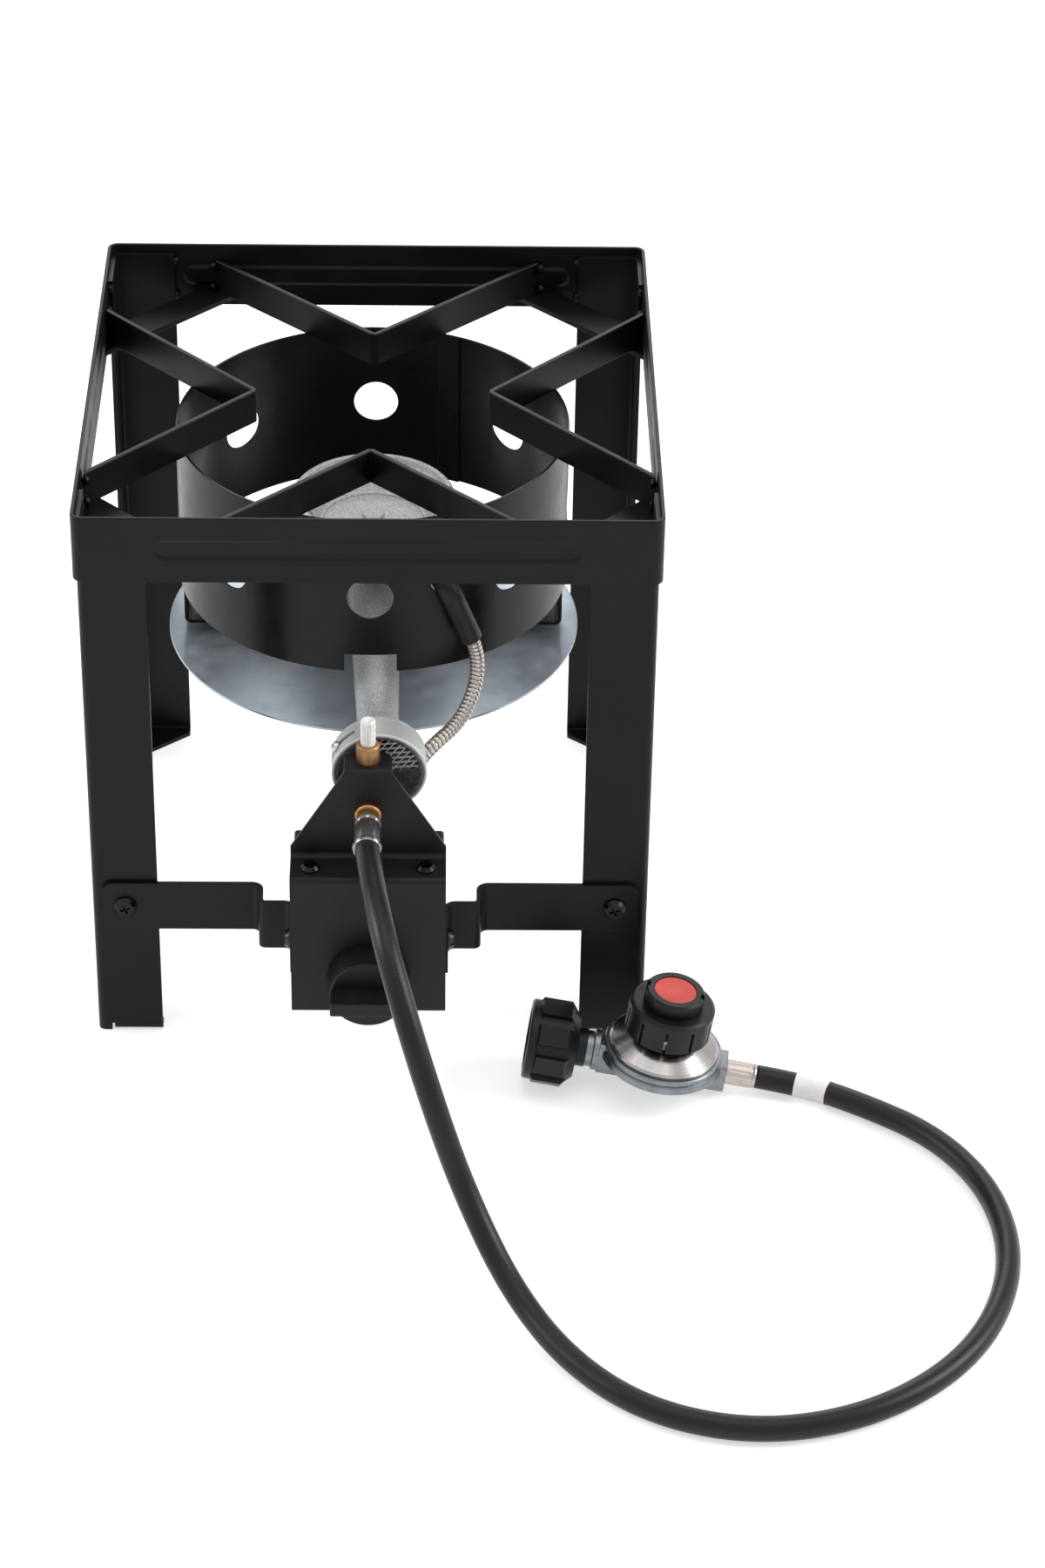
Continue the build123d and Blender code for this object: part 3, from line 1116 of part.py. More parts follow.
def build():
    rear_leg, front_leg = leg()
    flip_x = Plane.YZ
    flip_y = Plane.XZ
    support = pot_support()
    pieces = {
        "top_rim": top_rim(),
        "leg_front_left": front_leg,
        "leg_front_right": mirror(front_leg, flip_x),
        "leg_rear_left": mirror(rear_leg, flip_y),
        "leg_rear_right": mirror(mirror(rear_leg, flip_y), flip_x),
        "pot_support_front": support,
        "pot_support_right": Rot(0, 0, 90) * support,
        "pot_support_rear": Rot(0, 0, 180) * support,
        "pot_support_left": Rot(0, 0, 270) * support,
    }
    makers = (
        corner_straps, wind_shield, burner_strap, heat_plate, plate_spacer, burner_body, burner_head,
        burner_bolt, burner_nut, air_screen, air_shutter, shutter_screw, valve_body, orifice, magnet_unit,
        magnet_lead, button_collar, reset_button, button_spring, control_panel, timer_housing,
        timer_movement, timer_switch, timer_shaft, timer_knob, panel_screws, leg_screws, leg_nuts,
        side_screws, thermocouple_sleeve, thermocouple_probe, thermocouple_lead, lead_gland, inlet_nut,
        hose_ferrule_burner, hose_ferrule_regulator, gas_hose, hose_sleeve, regulator_body,
        regulator_diaphragm, regulator_valve, regulator_bonnet, regulator_spring, regulator_collar,
        regulator_knob, knob_label, inlet_nipple, nut_retainer, coupling_nut)
    for maker in makers:
        pieces[maker.__name__] = maker()
    pieces["crossbar_left"] = crossbar(-1)
    pieces["crossbar_right"] = crossbar(1)
    return pieces


os.makedirs("parts", exist_ok=True)
for name, shape in build().items():
    moved = [Pos(0, SHIFT_Y, 0) * solid for solid in shape.solids()]
    whole = moved[0] if len(moved) == 1 else Compound(children=moved)
    export_step(whole, "parts/" + name + ".step")
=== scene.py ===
import json
from math import cos, pi, radians, sin, tau

import bmesh
import bpy
from mathutils import Matrix, Vector, noise


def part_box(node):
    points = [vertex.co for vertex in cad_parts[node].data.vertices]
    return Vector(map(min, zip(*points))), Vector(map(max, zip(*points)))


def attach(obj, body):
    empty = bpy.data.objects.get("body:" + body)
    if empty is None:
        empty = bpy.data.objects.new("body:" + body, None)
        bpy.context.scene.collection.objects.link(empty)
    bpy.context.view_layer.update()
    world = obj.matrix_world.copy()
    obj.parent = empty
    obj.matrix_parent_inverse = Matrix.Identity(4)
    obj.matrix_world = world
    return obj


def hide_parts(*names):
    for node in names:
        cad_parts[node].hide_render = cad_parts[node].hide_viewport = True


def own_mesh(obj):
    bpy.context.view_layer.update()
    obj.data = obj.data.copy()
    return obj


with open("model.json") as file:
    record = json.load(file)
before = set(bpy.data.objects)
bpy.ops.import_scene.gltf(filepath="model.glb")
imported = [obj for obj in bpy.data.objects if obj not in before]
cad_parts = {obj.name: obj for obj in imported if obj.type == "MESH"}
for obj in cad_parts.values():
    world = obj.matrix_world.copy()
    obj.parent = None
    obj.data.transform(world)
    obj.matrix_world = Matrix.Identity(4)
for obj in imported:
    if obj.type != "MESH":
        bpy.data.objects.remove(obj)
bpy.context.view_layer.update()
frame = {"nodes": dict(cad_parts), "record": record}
nodes = frame["nodes"]
scene = bpy.context.scene
MM = 0.001

# Places below are in millimetres from the stand's axis, which is this far back in the part's frame
STAND_SHIFT = 45.5


def placed(x, y, z):
    """A place in millimetres from the stand's axis, as a point of the part's frame in metres."""
    return Vector((x, y + STAND_SHIFT, z)) * MM


# Camera, solved for the picture's 1200 by 1800 frame

CAMERA_PLACE = (37.86, -2039.47, 1457.93)
CAMERA_PITCH = 34.365
CAMERA_YAW = -1.323
CAMERA_ROLL = -1.036
CAMERA_LENS = 98.661
CAMERA_SENSOR = 36.0
CAMERA_CLIP = (0.05, 60.0)


def add_camera():
    """Camera at the photograph's viewing angle."""
    data = bpy.data.cameras.new("camera")
    data.sensor_width = CAMERA_SENSOR
    data.lens = CAMERA_LENS
    data.clip_start, data.clip_end = CAMERA_CLIP
    camera = bpy.data.objects.new("camera", data)
    scene.collection.objects.link(camera)
    turn = (
        Matrix.Rotation(radians(CAMERA_YAW), 4, "Z")
        @ Matrix.Rotation(radians(90 - CAMERA_PITCH), 4, "X")
        @ Matrix.Rotation(radians(-CAMERA_ROLL), 4, "Z")
    )
    camera.matrix_world = Matrix.Translation(placed(*CAMERA_PLACE)) @ turn
    scene.camera = camera


# Frames with Z along a turned piece: the hose end at the burner, the burner's tube, the regulator

FERRULE_PLACE = Matrix.Translation(placed(0, -203.0, 175.63)) @ Matrix.Rotation(radians(90), 4, "X")
TUBE_PLACE = (
    Matrix.Translation(placed(0, 0, 200.0))
    @ Matrix.Rotation(radians(1.9), 4, "Z")
    @ Matrix.Rotation(radians(94.5), 4, "X")
)
REGULATOR_PLACE = (
    Matrix.Translation(placed(158.0, -198.0, 17.0))
    @ Matrix.Rotation(radians(-5.0), 4, "Z")
    @ Matrix.Rotation(radians(8.0), 4, "Y")
)

# Sizes that the materials follow, in metres

CUP_BAND_RADII = (0.022, 0.0258)
CUP_LIP_REACH = (0.1707, 0.1713)
CUP_CLOUD = 0.0016
FERRULE_LENGTH = 0.023
PRINT_PITCH = 0.0021

# Node materials

PRINT_ROWS = 22
BEVEL_SAMPLES = 6
NOISE_LOW = 0.3
NOISE_HIGH = 0.7


class Shade:
    """A node material while it is put together."""

    def __init__(self, name, colour, roughness, metallic=0.0, specular=0.5):
        self.material = bpy.data.materials.new(name)
        self.material.use_nodes = True
        self.tree = self.material.node_tree
        self.shader = self.tree.nodes["Principled BSDF"]
        self.set("Base Color", (*colour, 1.0))
        self.set("Roughness", roughness)
        self.set("Metallic", metallic)
        self.set("Specular IOR Level", specular)
        self.colour = colour
        self.roughness = roughness
        self.normal = None

    def set(self, socket, value):
        """A plain value on the shader."""
        self.shader.inputs[socket].default_value = value

    def node(self, kind, **values):
        """A new node with its properties set."""
        made = self.tree.nodes.new(kind)
        for name, value in values.items():
            setattr(made, name, value)
        return made

    def link(self, source, target):
        self.tree.links.new(source, target)

    def coords(self, place=None, stretch=(1, 1, 1), uv=False):
        """Object space in metres, or a piece's own UV, stretched."""
        source = self.node("ShaderNodeTexCoord").outputs["UV" if uv else "Object"]
        if place is not None:
            mapping = self.node("ShaderNodeMapping", vector_type="POINT")
            mapping.inputs["Location"].default_value = place.translation
            mapping.inputs["Rotation"].default_value = place.to_euler()
            self.link(source, mapping.inputs["Vector"])
            source = mapping.outputs["Vector"]
        if tuple(stretch) != (1, 1, 1):
            source = self.vector("MULTIPLY", source, stretch)
        return source

    def axes(self, source):
        """The X, Y and Z of a vector."""
        parts = self.node("ShaderNodeSeparateXYZ")
        self.link(source, parts.inputs["Vector"])
        return parts.outputs

    def vector(self, operation, source, second=None):
        """Vector arithmetic, or a vector's length."""
        made = self.node("ShaderNodeVectorMath", operation=operation)
        self.link(source, made.inputs[0])
        if second is not None:
            made.inputs[1].default_value = second
        return made.outputs["Value" if operation == "LENGTH" else "Vector"]

    def soften(self, radius):
        """Edges shaded as if rounded to a radius in millimetres."""
        bevel = self.node("ShaderNodeBevel", samples=BEVEL_SAMPLES)
        bevel.inputs["Radius"].default_value = radius * MM
        self.normal = bevel.outputs["Normal"]
        self.link(self.normal, self.shader.inputs["Normal"])

    def noise(self, scale, detail=3.0, vector=None, roughness=0.55):
        """Cloudy noise, in object space if no vector is given."""
        texture = self.node("ShaderNodeTexNoise")
        texture.inputs["Scale"].default_value = scale
        texture.inputs["Detail"].default_value = detail
        texture.inputs["Roughness"].default_value = roughness
        self.link(vector or self.coords(), texture.inputs["Vector"])
        return texture.outputs["Fac"]

    def cells(self, scale):
        """Cells in object space, by distance from their middles."""
        texture = self.node("ShaderNodeTexVoronoi")
        texture.inputs["Scale"].default_value = scale
        self.link(self.coords(), texture.inputs["Vector"])
        return texture.outputs["Distance"]

    def span(self, source, low, high, start, end):
        """A value mapped from one range to another."""
        mapped = self.node("ShaderNodeMapRange")
        for name, value in (("From Min", low), ("From Max", high), ("To Min", start), ("To Max", end)):
            mapped.inputs[name].default_value = value
        self.link(source, mapped.inputs["Value"])
        return mapped.outputs["Result"]

    def math(self, operation, first, second=0.0):
        """Arithmetic on plain numbers and node values."""
        made = self.node("ShaderNodeMath", operation=operation)
        for number, value in enumerate((first, second)):
            if isinstance(value, (int, float)):
                made.inputs[number].default_value = value
            else:
                self.link(value, made.inputs[number])
        return made.outputs["Value"]

    def tint(self, source, *stops):
        """Base colour from a ramp of (place, colour) stops."""
        ramp = self.node("ShaderNodeValToRGB")
        elements = ramp.color_ramp.elements
        while len(elements) < len(stops):
            elements.new(0.5)
        for element, (place, colour) in zip(elements, stops):
            element.position = place
            element.color = (*colour, 1.0)
        self.link(source, ramp.inputs["Fac"])
        self.link(ramp.outputs["Color"], self.shader.inputs["Base Color"])

    def mottle(self, source, share):
        """Base colour that varies a little about the plain one."""
        dark = [part * (1 - share) for part in self.colour]
        light = [min(1.0, part * (1 + share)) for part in self.colour]
        self.tint(source, (NOISE_LOW, dark), (NOISE_HIGH, light))

    def wear(self, source, spread):
        """Roughness that varies a little about the plain one."""
        ends = (self.roughness - spread, self.roughness + spread)
        self.link(self.span(source, NOISE_LOW, NOISE_HIGH, *ends), self.shader.inputs["Roughness"])

    def relief(self, source, depth, strength=1.0):
        """Bump of a depth in millimetres, on top of any bump before it."""
        bump = self.node("ShaderNodeBump")
        bump.inputs["Strength"].default_value = strength
        bump.inputs["Distance"].default_value = depth * MM
        self.link(source, bump.inputs["Height"])
        if self.normal is not None:
            self.link(self.normal, bump.inputs["Normal"])
        self.normal = bump.outputs["Normal"]
        self.link(self.normal, self.shader.inputs["Normal"])


def powder_coat(name, colour, roughness, specular):
    """Satin powder coat: softened edges, fine orange peel and faint clouding."""
    shade = Shade(name, colour, roughness, specular=specular)
    shade.soften(0.5)
    shade.mottle(shade.noise(18, 4), 0.22)
    shade.wear(shade.noise(60, 4), 0.05)
    shade.relief(shade.noise(1300, 2), 0.02)
    return shade.material


def moulded(name, colour, roughness, specular=0.3):
    """Moulded plastic with a fine grain."""
    shade = Shade(name, colour, roughness, specular=specular)
    shade.soften(0.4)
    shade.mottle(shade.noise(45, 3), 0.2)
    shade.wear(shade.noise(120, 3), 0.06)
    shade.relief(shade.noise(2600, 2), 0.012)
    return shade.material


def bright_metal(name, colour, roughness, blotch=0.16, depth=0.005, metallic=1.0):
    """Bare or plated metal with faint blotches."""
    shade = Shade(name, colour, roughness, metallic=metallic)
    shade.soften(0.3)
    shade.mottle(shade.noise(120, 5), blotch)
    shade.wear(shade.noise(220, 4), 0.07)
    shade.relief(shade.noise(900, 3), depth)
    return shade.material


def zinc_sheet():
    """Zinc plated sheet with soft spangle."""
    shade = Shade("zinc_plate", (0.35, 0.395, 0.44), 0.36, metallic=0.85)
    shade.soften(0.4)
    spangle = shade.math("ADD", shade.noise(30, 5), shade.math("MULTIPLY", shade.cells(150), 0.25))
    shade.mottle(spangle, 0.13)
    shade.wear(shade.noise(90, 5), 0.07)
    shade.relief(shade.noise(700, 3), 0.015)
    return shade.material


def sand_cast():
    """Sand cast alloy: open grain with dark pits."""
    shade = Shade("cast_grey", (0.44, 0.44, 0.44), 0.55, metallic=0.5)
    shade.soften(0.8)
    grain = shade.noise(900, 4, roughness=0.7)
    shade.tint(
        grain,
        (0.28, (0.25, 0.25, 0.25)),
        (0.45, (0.46, 0.46, 0.46)),
        (0.62, (0.625, 0.625, 0.625)),
        (0.8, (0.81, 0.81, 0.81)),
    )
    shade.wear(shade.noise(300, 3), 0.1)
    shade.relief(grain, 0.16, 0.6)
    shade.relief(shade.noise(120, 3), 0.25, 0.4)
    return shade.material


def brass(name, dark, plain, light, roughness):
    """Turned brass with a dull skin."""
    shade = Shade(name, plain, roughness, metallic=1.0)
    shade.soften(0.4)
    shade.tint(shade.noise(160, 5), (0.25, dark), (0.5, plain), (0.8, light))
    shade.wear(shade.noise(300, 4), 0.08)
    shade.relief(shade.noise(1500, 3), 0.008)
    return shade.material


def milky_plastic():
    """Clear plastic gone milky."""
    shade = Shade("button_clear", (0.92, 0.9, 0.875), 0.26, specular=0.5)
    shade.set("Transmission Weight", 0.1)
    shade.set("IOR", 1.46)
    streaks = shade.noise(480, 2, shade.coords(stretch=(1, 1, 0.06)))
    shade.tint(
        streaks,
        (0.34, (0.76, 0.74, 0.72)),
        (0.48, (0.95, 0.93, 0.905)),
        (0.66, (0.985, 0.97, 0.945)),
    )
    shade.wear(shade.noise(200, 2), 0.04)
    return shade.material


def conduit_metal():
    """Interlocked stainless strip, with painted shade, dark brown, in its grooves and a painted
    highlight along the middle of each turn.
    """
    shade = Shade("conduit", (0.5, 0.46, 0.43), 0.28, metallic=0.8)
    turn = shade.axes(shade.coords(uv=True))
    groove = shade.math("FRACT", shade.math("ADD", turn["X"], turn["Y"]))
    # Painted shade: near black in the grooves. Painted highlight: lighter across the middle of each
    # turn.
    shade.tint(
        groove,
        (0.0, (0.05, 0.042, 0.037)),
        (0.13, (0.4, 0.355, 0.325)),
        (0.45, (0.62, 0.565, 0.52)),
        (0.87, (0.38, 0.335, 0.305)),
        (1.0, (0.05, 0.042, 0.037)),
    )
    shade.wear(shade.noise(600, 4), 0.08)
    shade.relief(shade.noise(1800, 2), 0.02)
    return shade.material


def hose_rubber():
    """Black rubber with the fine slanted print of the cloth it was cured in."""
    shade = Shade("hose_black", (0.004, 0.004, 0.0042), 0.29, specular=0.3)
    place = shade.axes(shade.coords(uv=True))
    along = shade.math("MULTIPLY", place["X"], tau / PRINT_PITCH)
    around = shade.math("MULTIPLY", place["Y"], tau * PRINT_ROWS)
    one = shade.math("SINE", shade.math("ADD", along, around))
    two = shade.math("SINE", shade.math("SUBTRACT", along, around))
    print_mark = shade.math("MULTIPLY", one, two)
    shade.mottle(shade.noise(35, 4), 0.3)
    shade.wear(shade.noise(90, 4), 0.06)
    shade.relief(print_mark, 0.05, 0.6)
    shade.relief(shade.noise(1500, 2), 0.02)
    return shade.material


def paper():
    """Plain white paper."""
    shade = Shade("paper", (0.86, 0.835, 0.82), 0.62, specular=0.3)
    shade.mottle(shade.noise(260, 5), 0.05)
    shade.wear(shade.noise(300, 3), 0.05)
    shade.relief(shade.noise(2200, 4), 0.03)
    return shade.material


def spun_metal(place):
    """Bright pressed cover: fine rings from its polishing, and light and dark sectors around its axis
    painted as reflections.
    """
    shade = Shade("bonnet_bright", (0.55, 0.53, 0.52), 0.24, metallic=1.0)
    flat = shade.coords(place=place, stretch=(1, 1, 0))
    rings = shade.node("ShaderNodeTexNoise", noise_dimensions="1D")
    rings.inputs["Scale"].default_value = 2600
    rings.inputs["Detail"].default_value = 3
    shade.link(shade.vector("LENGTH", flat), rings.inputs["W"])
    # Painted reflections: broad light and dark sectors around the cover's axis
    reflection_sectors = shade.noise(2.1, 2, shade.vector("NORMALIZE", flat))
    shade.tint(
        shade.math("ADD", reflection_sectors, shade.math("MULTIPLY", rings.outputs["Fac"], 0.2)),
        (0.44, (0.32, 0.31, 0.305)),
        (0.58, (0.36, 0.345, 0.335)),
        (0.72, (0.44, 0.425, 0.41)),
    )
    shade.wear(rings.outputs["Fac"], 0.07)
    shade.relief(rings.outputs["Fac"], 0.012, 0.5)
    return shade.material


def shutter_zinc(place):
    """Zinc plated cup: a clear dark disc inside a light band, and a painted highlight on its front
    lip.
    """
    shade = Shade("shutter", (0.5, 0.5, 0.5), 0.4, metallic=0.35)
    shade.soften(0.3)
    reach = shade.vector("LENGTH", shade.coords(place=place, stretch=(1, 1, 0)))
    cloud = shade.math("MULTIPLY", shade.noise(260, 5), CUP_CLOUD)
    edge = shade.span(shade.math("ADD", reach, cloud), *CUP_BAND_RADII, 0.0, 0.6)
    # Painted highlight: the cup is painted lighter from its front lip on
    rim = shade.span(shade.axes(shade.coords(place=place))["Z"], *CUP_LIP_REACH, 0.0, 0.4)
    specks = shade.span(shade.noise(420, 5), 0.46, 0.72, 0.0, 0.2)
    specks = shade.math("MULTIPLY", specks, shade.span(edge, 0.0, 0.6, 1.0, 0.2))
    shade.tint(
        shade.math("ADD", shade.math("ADD", edge, rim), specks),
        (0.0, (0.07, 0.075, 0.09)),
        (0.1, (0.11, 0.115, 0.13)),
        (0.22, (0.21, 0.215, 0.225)),
        (0.34, (0.35, 0.36, 0.355)),
        (0.62, (0.47, 0.48, 0.475)),
        (0.75, (0.8, 0.8, 0.79)),
    )
    shade.link(shade.span(edge, 0.24, 0.36, 0.2, 0.42), shade.shader.inputs["Roughness"])
    shade.relief(shade.noise(90, 4), 0.12, 0.5)
    shade.relief(shade.noise(900, 3), 0.02)
    return shade.material


def crimped_metal(place):
    """Crimped plated sleeve along Z, with a painted highlight on its bright end and its lip, and
    painted shade over its dark flutes.
    """
    shade = Shade("ferrule_painted_light", (0.3, 0.3, 0.3), 0.24, metallic=0.8)
    shade.soften(0.3)
    # Painted highlight on the plain end and the lip, painted shade along the flutes
    shade.tint(
        shade.span(shade.axes(shade.coords(place=place))["Z"], 0.0, FERRULE_LENGTH, 0.0, 1.0),
        (0.11, (0.86, 0.85, 0.84)),
        (0.16, (0.16, 0.157, 0.153)),
        (0.78, (0.24, 0.235, 0.23)),
        (0.86, (0.1, 0.098, 0.095)),
        (0.97, (0.1, 0.098, 0.095)),
        (1.0, (0.4, 0.39, 0.38)),
    )
    shade.wear(shade.noise(160, 3), 0.06)
    return shade.material


MATERIALS = {
    "frame_black": powder_coat("frame_black", (0.0045, 0.0043, 0.0052), 0.38, 0.175),
    "panel_black": powder_coat("panel_black", (0.0066, 0.0062, 0.0064), 0.46, 0.22),
    "shield_black": powder_coat("shield_black", (0.0042, 0.004, 0.0048), 0.31, 0.2),
    "zinc_plate": zinc_sheet(),
    "cast_grey": sand_cast(),
    "steel": bright_metal("steel", (0.55, 0.55, 0.55), 0.27),
    "shutter": shutter_zinc(TUBE_PLACE.inverted()),
    "net": bright_metal("net", (0.66, 0.65, 0.63), 0.42, blotch=0.08, metallic=0.25),
    "ferrule": bright_metal("ferrule", (0.49, 0.43, 0.395), 0.3, blotch=0.05, depth=0.0015),
    "ferrule_painted_light": crimped_metal(FERRULE_PLACE.inverted()),
    "screw_black": bright_metal("screw_black", (0.022, 0.022, 0.0225), 0.27),
    "screw_plain": bright_metal("screw_plain", (0.045, 0.045, 0.046), 0.24),
    "brass": brass("brass", (0.2, 0.11, 0.05), (0.31, 0.175, 0.08), (0.42, 0.26, 0.13), 0.46),
    "brass_bright": brass(
        "brass_bright", (0.2, 0.11, 0.045), (0.36, 0.2, 0.085), (0.56, 0.34, 0.16), 0.38
    ),
    "button_clear": milky_plastic(),
    "knob_black": moulded("knob_black", (0.0052, 0.0049, 0.0051), 0.42, 0.24),
    "sleeve_black": moulded("sleeve_black", (0.0055, 0.0055, 0.0056), 0.46, 0.28),
    "conduit": conduit_metal(),
    "hose_black": hose_rubber(),
    "paper": paper(),
    "zinc_cast": bright_metal("zinc_cast", (0.2, 0.217, 0.23), 0.31, depth=0.012),
    "bonnet_bright": spun_metal(REGULATOR_PLACE.inverted()),
    "label_red": moulded("label_red", (0.6, 0.07, 0.05), 0.42),
    "nut_black": moulded("nut_black", (0.0052, 0.005, 0.0052), 0.36, 0.26),
}

# Nodes that look different from their slot

OWN_MATERIAL = {
    "air_shutter": "shutter",
    "hose_ferrule_burner": "ferrule_painted_light",
    "burner_bolt": "cast_grey",
    "inlet_nut": "brass_bright",
    "side_screws": "screw_plain",
}
SMOOTH_ANGLE = 28


def dress_frame():
    """Material and smooth shading for every node of the frame."""
    for row in frame["record"]["subparts"]:
        node = nodes[row["node"]]
        slot = OWN_MATERIAL.get(row["node"], row["material_slot"])
        node.data.materials.clear()
        node.data.materials.append(MATERIALS[slot])
        for face in node.data.polygons:
            face.use_smooth = True
        node.data.set_sharp_from_angle(angle=radians(SMOOTH_ANGLE))


# Pieces made here


def add_piece(name, mesh, slot, body="stand"):
    """A mesh as a piece that rides on a body, with the finish of a slot."""
    piece = bpy.data.objects.new(name, mesh)
    scene.collection.objects.link(piece)
    mesh.materials.append(MATERIALS[slot])
    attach(piece, body)
    return piece


# Lines and tubes

SPLINE_ORDER = 3


def spline_points(name, route, resolution):
    """Points of the smooth NURBS line that has the route as its control points."""
    curve = bpy.data.curves.new(name, "CURVE")
    curve.dimensions = "3D"
    curve.resolution_u = resolution
    spline = curve.splines.new("NURBS")
    spline.points.add(len(route) - 1)
    for point, place in zip(spline.points, route):
        point.co = (*placed(*place), 1.0)
    spline.order_u = SPLINE_ORDER
    spline.use_endpoint_u = True
    holder = bpy.data.objects.new(name, curve)
    mesh = bpy.data.meshes.new_from_object(holder)
    points = [vertex.co.copy() for vertex in mesh.vertices]
    bpy.data.objects.remove(holder)
    bpy.data.curves.remove(curve)
    bpy.data.meshes.remove(mesh)
    return points


def reaches(points):
    """Distance along a line at each of its points."""
    total = [0.0]
    for first, second in zip(points, points[1:]):
        total.append(total[-1] + (second - first).length)
    return total


def point_at(points, total, reach):
    """Point on a line at a distance along it."""
    for number in range(1, len(points)):
        if total[number] >= reach:
            step = total[number] - total[number - 1]
            share = (reach - total[number - 1]) / step
            return points[number - 1].lerp(points[number], share)
    return points[-1].copy()


def nearest_reach(points, total, place):
    """Distance along a line at its point nearest to a place."""
    return min(zip(points, total), key=lambda pair: (pair[0] - place).length)[1]


def carried_frames(points):
    """Two cross directions at each point, carried along without twist."""
    frames = []
    side = None
    for number in range(len(points)):
        before = points[max(number - 1, 0)]
        after = points[min(number + 1, len(points) - 1)]
        ahead = (after - before).normalized()
        if side is None:
            side = ahead.orthogonal()
        side = (side - ahead * side.dot(ahead)).normalized()
        frames.append((side.copy(), ahead.cross(side)))
    return frames


def tube_mesh(name, points, radius_at, sides, uv_scale=1.0):
    """Closed tube along points. radius_at(reach, share of the turn) gives its radius in metres."""
    total = reaches(points)
    crossing = carried_frames(points)
    work = bmesh.new()
    layer = work.loops.layers.uv.new("UVMap")
    rings = []
    for point, reach, (side, up) in zip(points, total, crossing):
        ring = []
        for step in range(sides):
            share = step / sides
            angle = tau * share
            out = side * cos(angle) + up * sin(angle)
            ring.append(work.verts.new(point + out * radius_at(reach, share)))
        rings.append(ring)
    for row in range(len(rings) - 1):
        here, there = rings[row], rings[row + 1]
        for step in range(sides):
            far = (step + 1) % sides
            face = work.faces.new((here[step], here[far], there[far], there[step]))
            face.smooth = True
            corners = ((row, step), (row, step + 1), (row + 1, step + 1), (row + 1, step))
            for loop, (line, turn) in zip(face.loops, corners):
                loop[layer].uv = (total[line] * uv_scale, turn / sides)
    work.faces.new(rings[0][::-1])
    work.faces.new(rings[-1])
    mesh = bpy.data.meshes.new(name)
    work.to_mesh(mesh)
    work.free()
    return mesh


# Route of the gas hose, as the part's source has it

HOSE_DIAMETER = 13.0
HOSE_RESOLUTION = 24
HOSE_SIDES = 40
HOSE_ROUTE = (
    (0.0, -226.0, 175.63),
    (5.7, -279.3, 175.63),
    (19.4, -320.8, 145.55),
    (35.0, -341.0, 98.55),
    (51.9, -352.0, 49.53),
    (75.2, -385.5, 15.56),
    (103.7, -429.4, 6.6),
    (142.2, -465.8, 6.6),
    (193.1, -480.6, 6.6),
    (245.4, -470.6, 6.6),
    (290.2, -441.1, 6.6),
    (320.3, -399.9, 6.6),
    (335.1, -347.6, 6.6),
    (329.0, -293.6, 6.6),
    (303.3, -249.1, 6.6),
    (261.0, -219.5, 6.9),
    (233.0, -206.0, 7.2),
    (210.28, -202.57, 9.62),
)
PAPER_ENDS = ((248.98, -213.71, 7.03), (231.64, -206.51, 7.55))
PAPER_GAP = 0.08
PAPER_PROUD = 0.32
PAPER_STEPS = 24
PAPER_SIDES = 48
PAPER_LAP = 6
PAPER_SHEET = 0.55
PAPER_RISE = 0.5
PAPER_ANGLE = 40

# Hose and the paper band round it


def strip_corners(row, beyond, step):
    """Corners of the face between two rows of points, from one step to the next."""
    return (row[step], row[step + 1], beyond[step + 1], beyond[step])


def paper_mesh(points, radius):
    """Thin band round the hose, one end lapped over the other."""
    inner = radius + PAPER_GAP * MM
    room = (PAPER_PROUD - PAPER_GAP) * MM
    count = PAPER_SIDES + PAPER_LAP
    work = bmesh.new()
    skins = []
    for lift in (0.0, PAPER_SHEET * room):
        rows = []
        for point, (side, up) in zip(points, carried_frames(points)):
            row = []
            for step in range(count + 1):
                angle = tau * step / PAPER_SIDES
                rise = PAPER_RISE * room * max(0.0, step - PAPER_SIDES + 1) / PAPER_LAP
                out = side * cos(angle) + up * sin(angle)
                row.append(work.verts.new(point + out * (inner + lift + rise)))
            rows.append(row)
        skins.append(rows)
    low, high = skins
    last = len(points) - 1
    for line in range(last):
        for step in range(count):
            work.faces.new(strip_corners(high[line], high[line + 1], step))
            work.faces.new(strip_corners(low[line], low[line + 1], step)[::-1])
    for step in range(count):
        work.faces.new(strip_corners(low[0], high[0], step))
        work.faces.new(strip_corners(low[last], high[last], step)[::-1])
    for line in range(last):
        for end, turned in ((0, True), (count, False)):
            corners = (low[line][end], low[line + 1][end], high[line + 1][end], high[line][end])
            work.faces.new(corners[::-1] if turned else corners)
    for face in work.faces:
        face.smooth = True
    mesh = bpy.data.meshes.new("paper_band")
    work.to_mesh(mesh)
    work.free()
    mesh.set_sharp_from_angle(angle=radians(PAPER_ANGLE))
    return mesh


def add_hose(carried):
    """Gas hose with its paper band. The pieces given as carried are not used."""
    line = spline_points("hose_line", HOSE_ROUTE, HOSE_RESOLUTION)
    radius = HOSE_DIAMETER / 2 * MM
    tube = tube_mesh("rubber_hose", line, lambda reach, share: radius, HOSE_SIDES)
    hose = add_piece("rubber_hose", tube, "hose_black")
    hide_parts("gas_hose")
    total = reaches(line)
    first, last = (nearest_reach(line, total, placed(*end)) for end in PAPER_ENDS)
    step = (last - first) / PAPER_STEPS
    stretch = [point_at(line, total, first + step * number) for number in range(PAPER_STEPS + 1)]
    sleeve = add_piece("paper_band", paper_mesh(stretch, radius), "paper")
    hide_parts("hose_sleeve")


# Route of the flame sensor's conduit

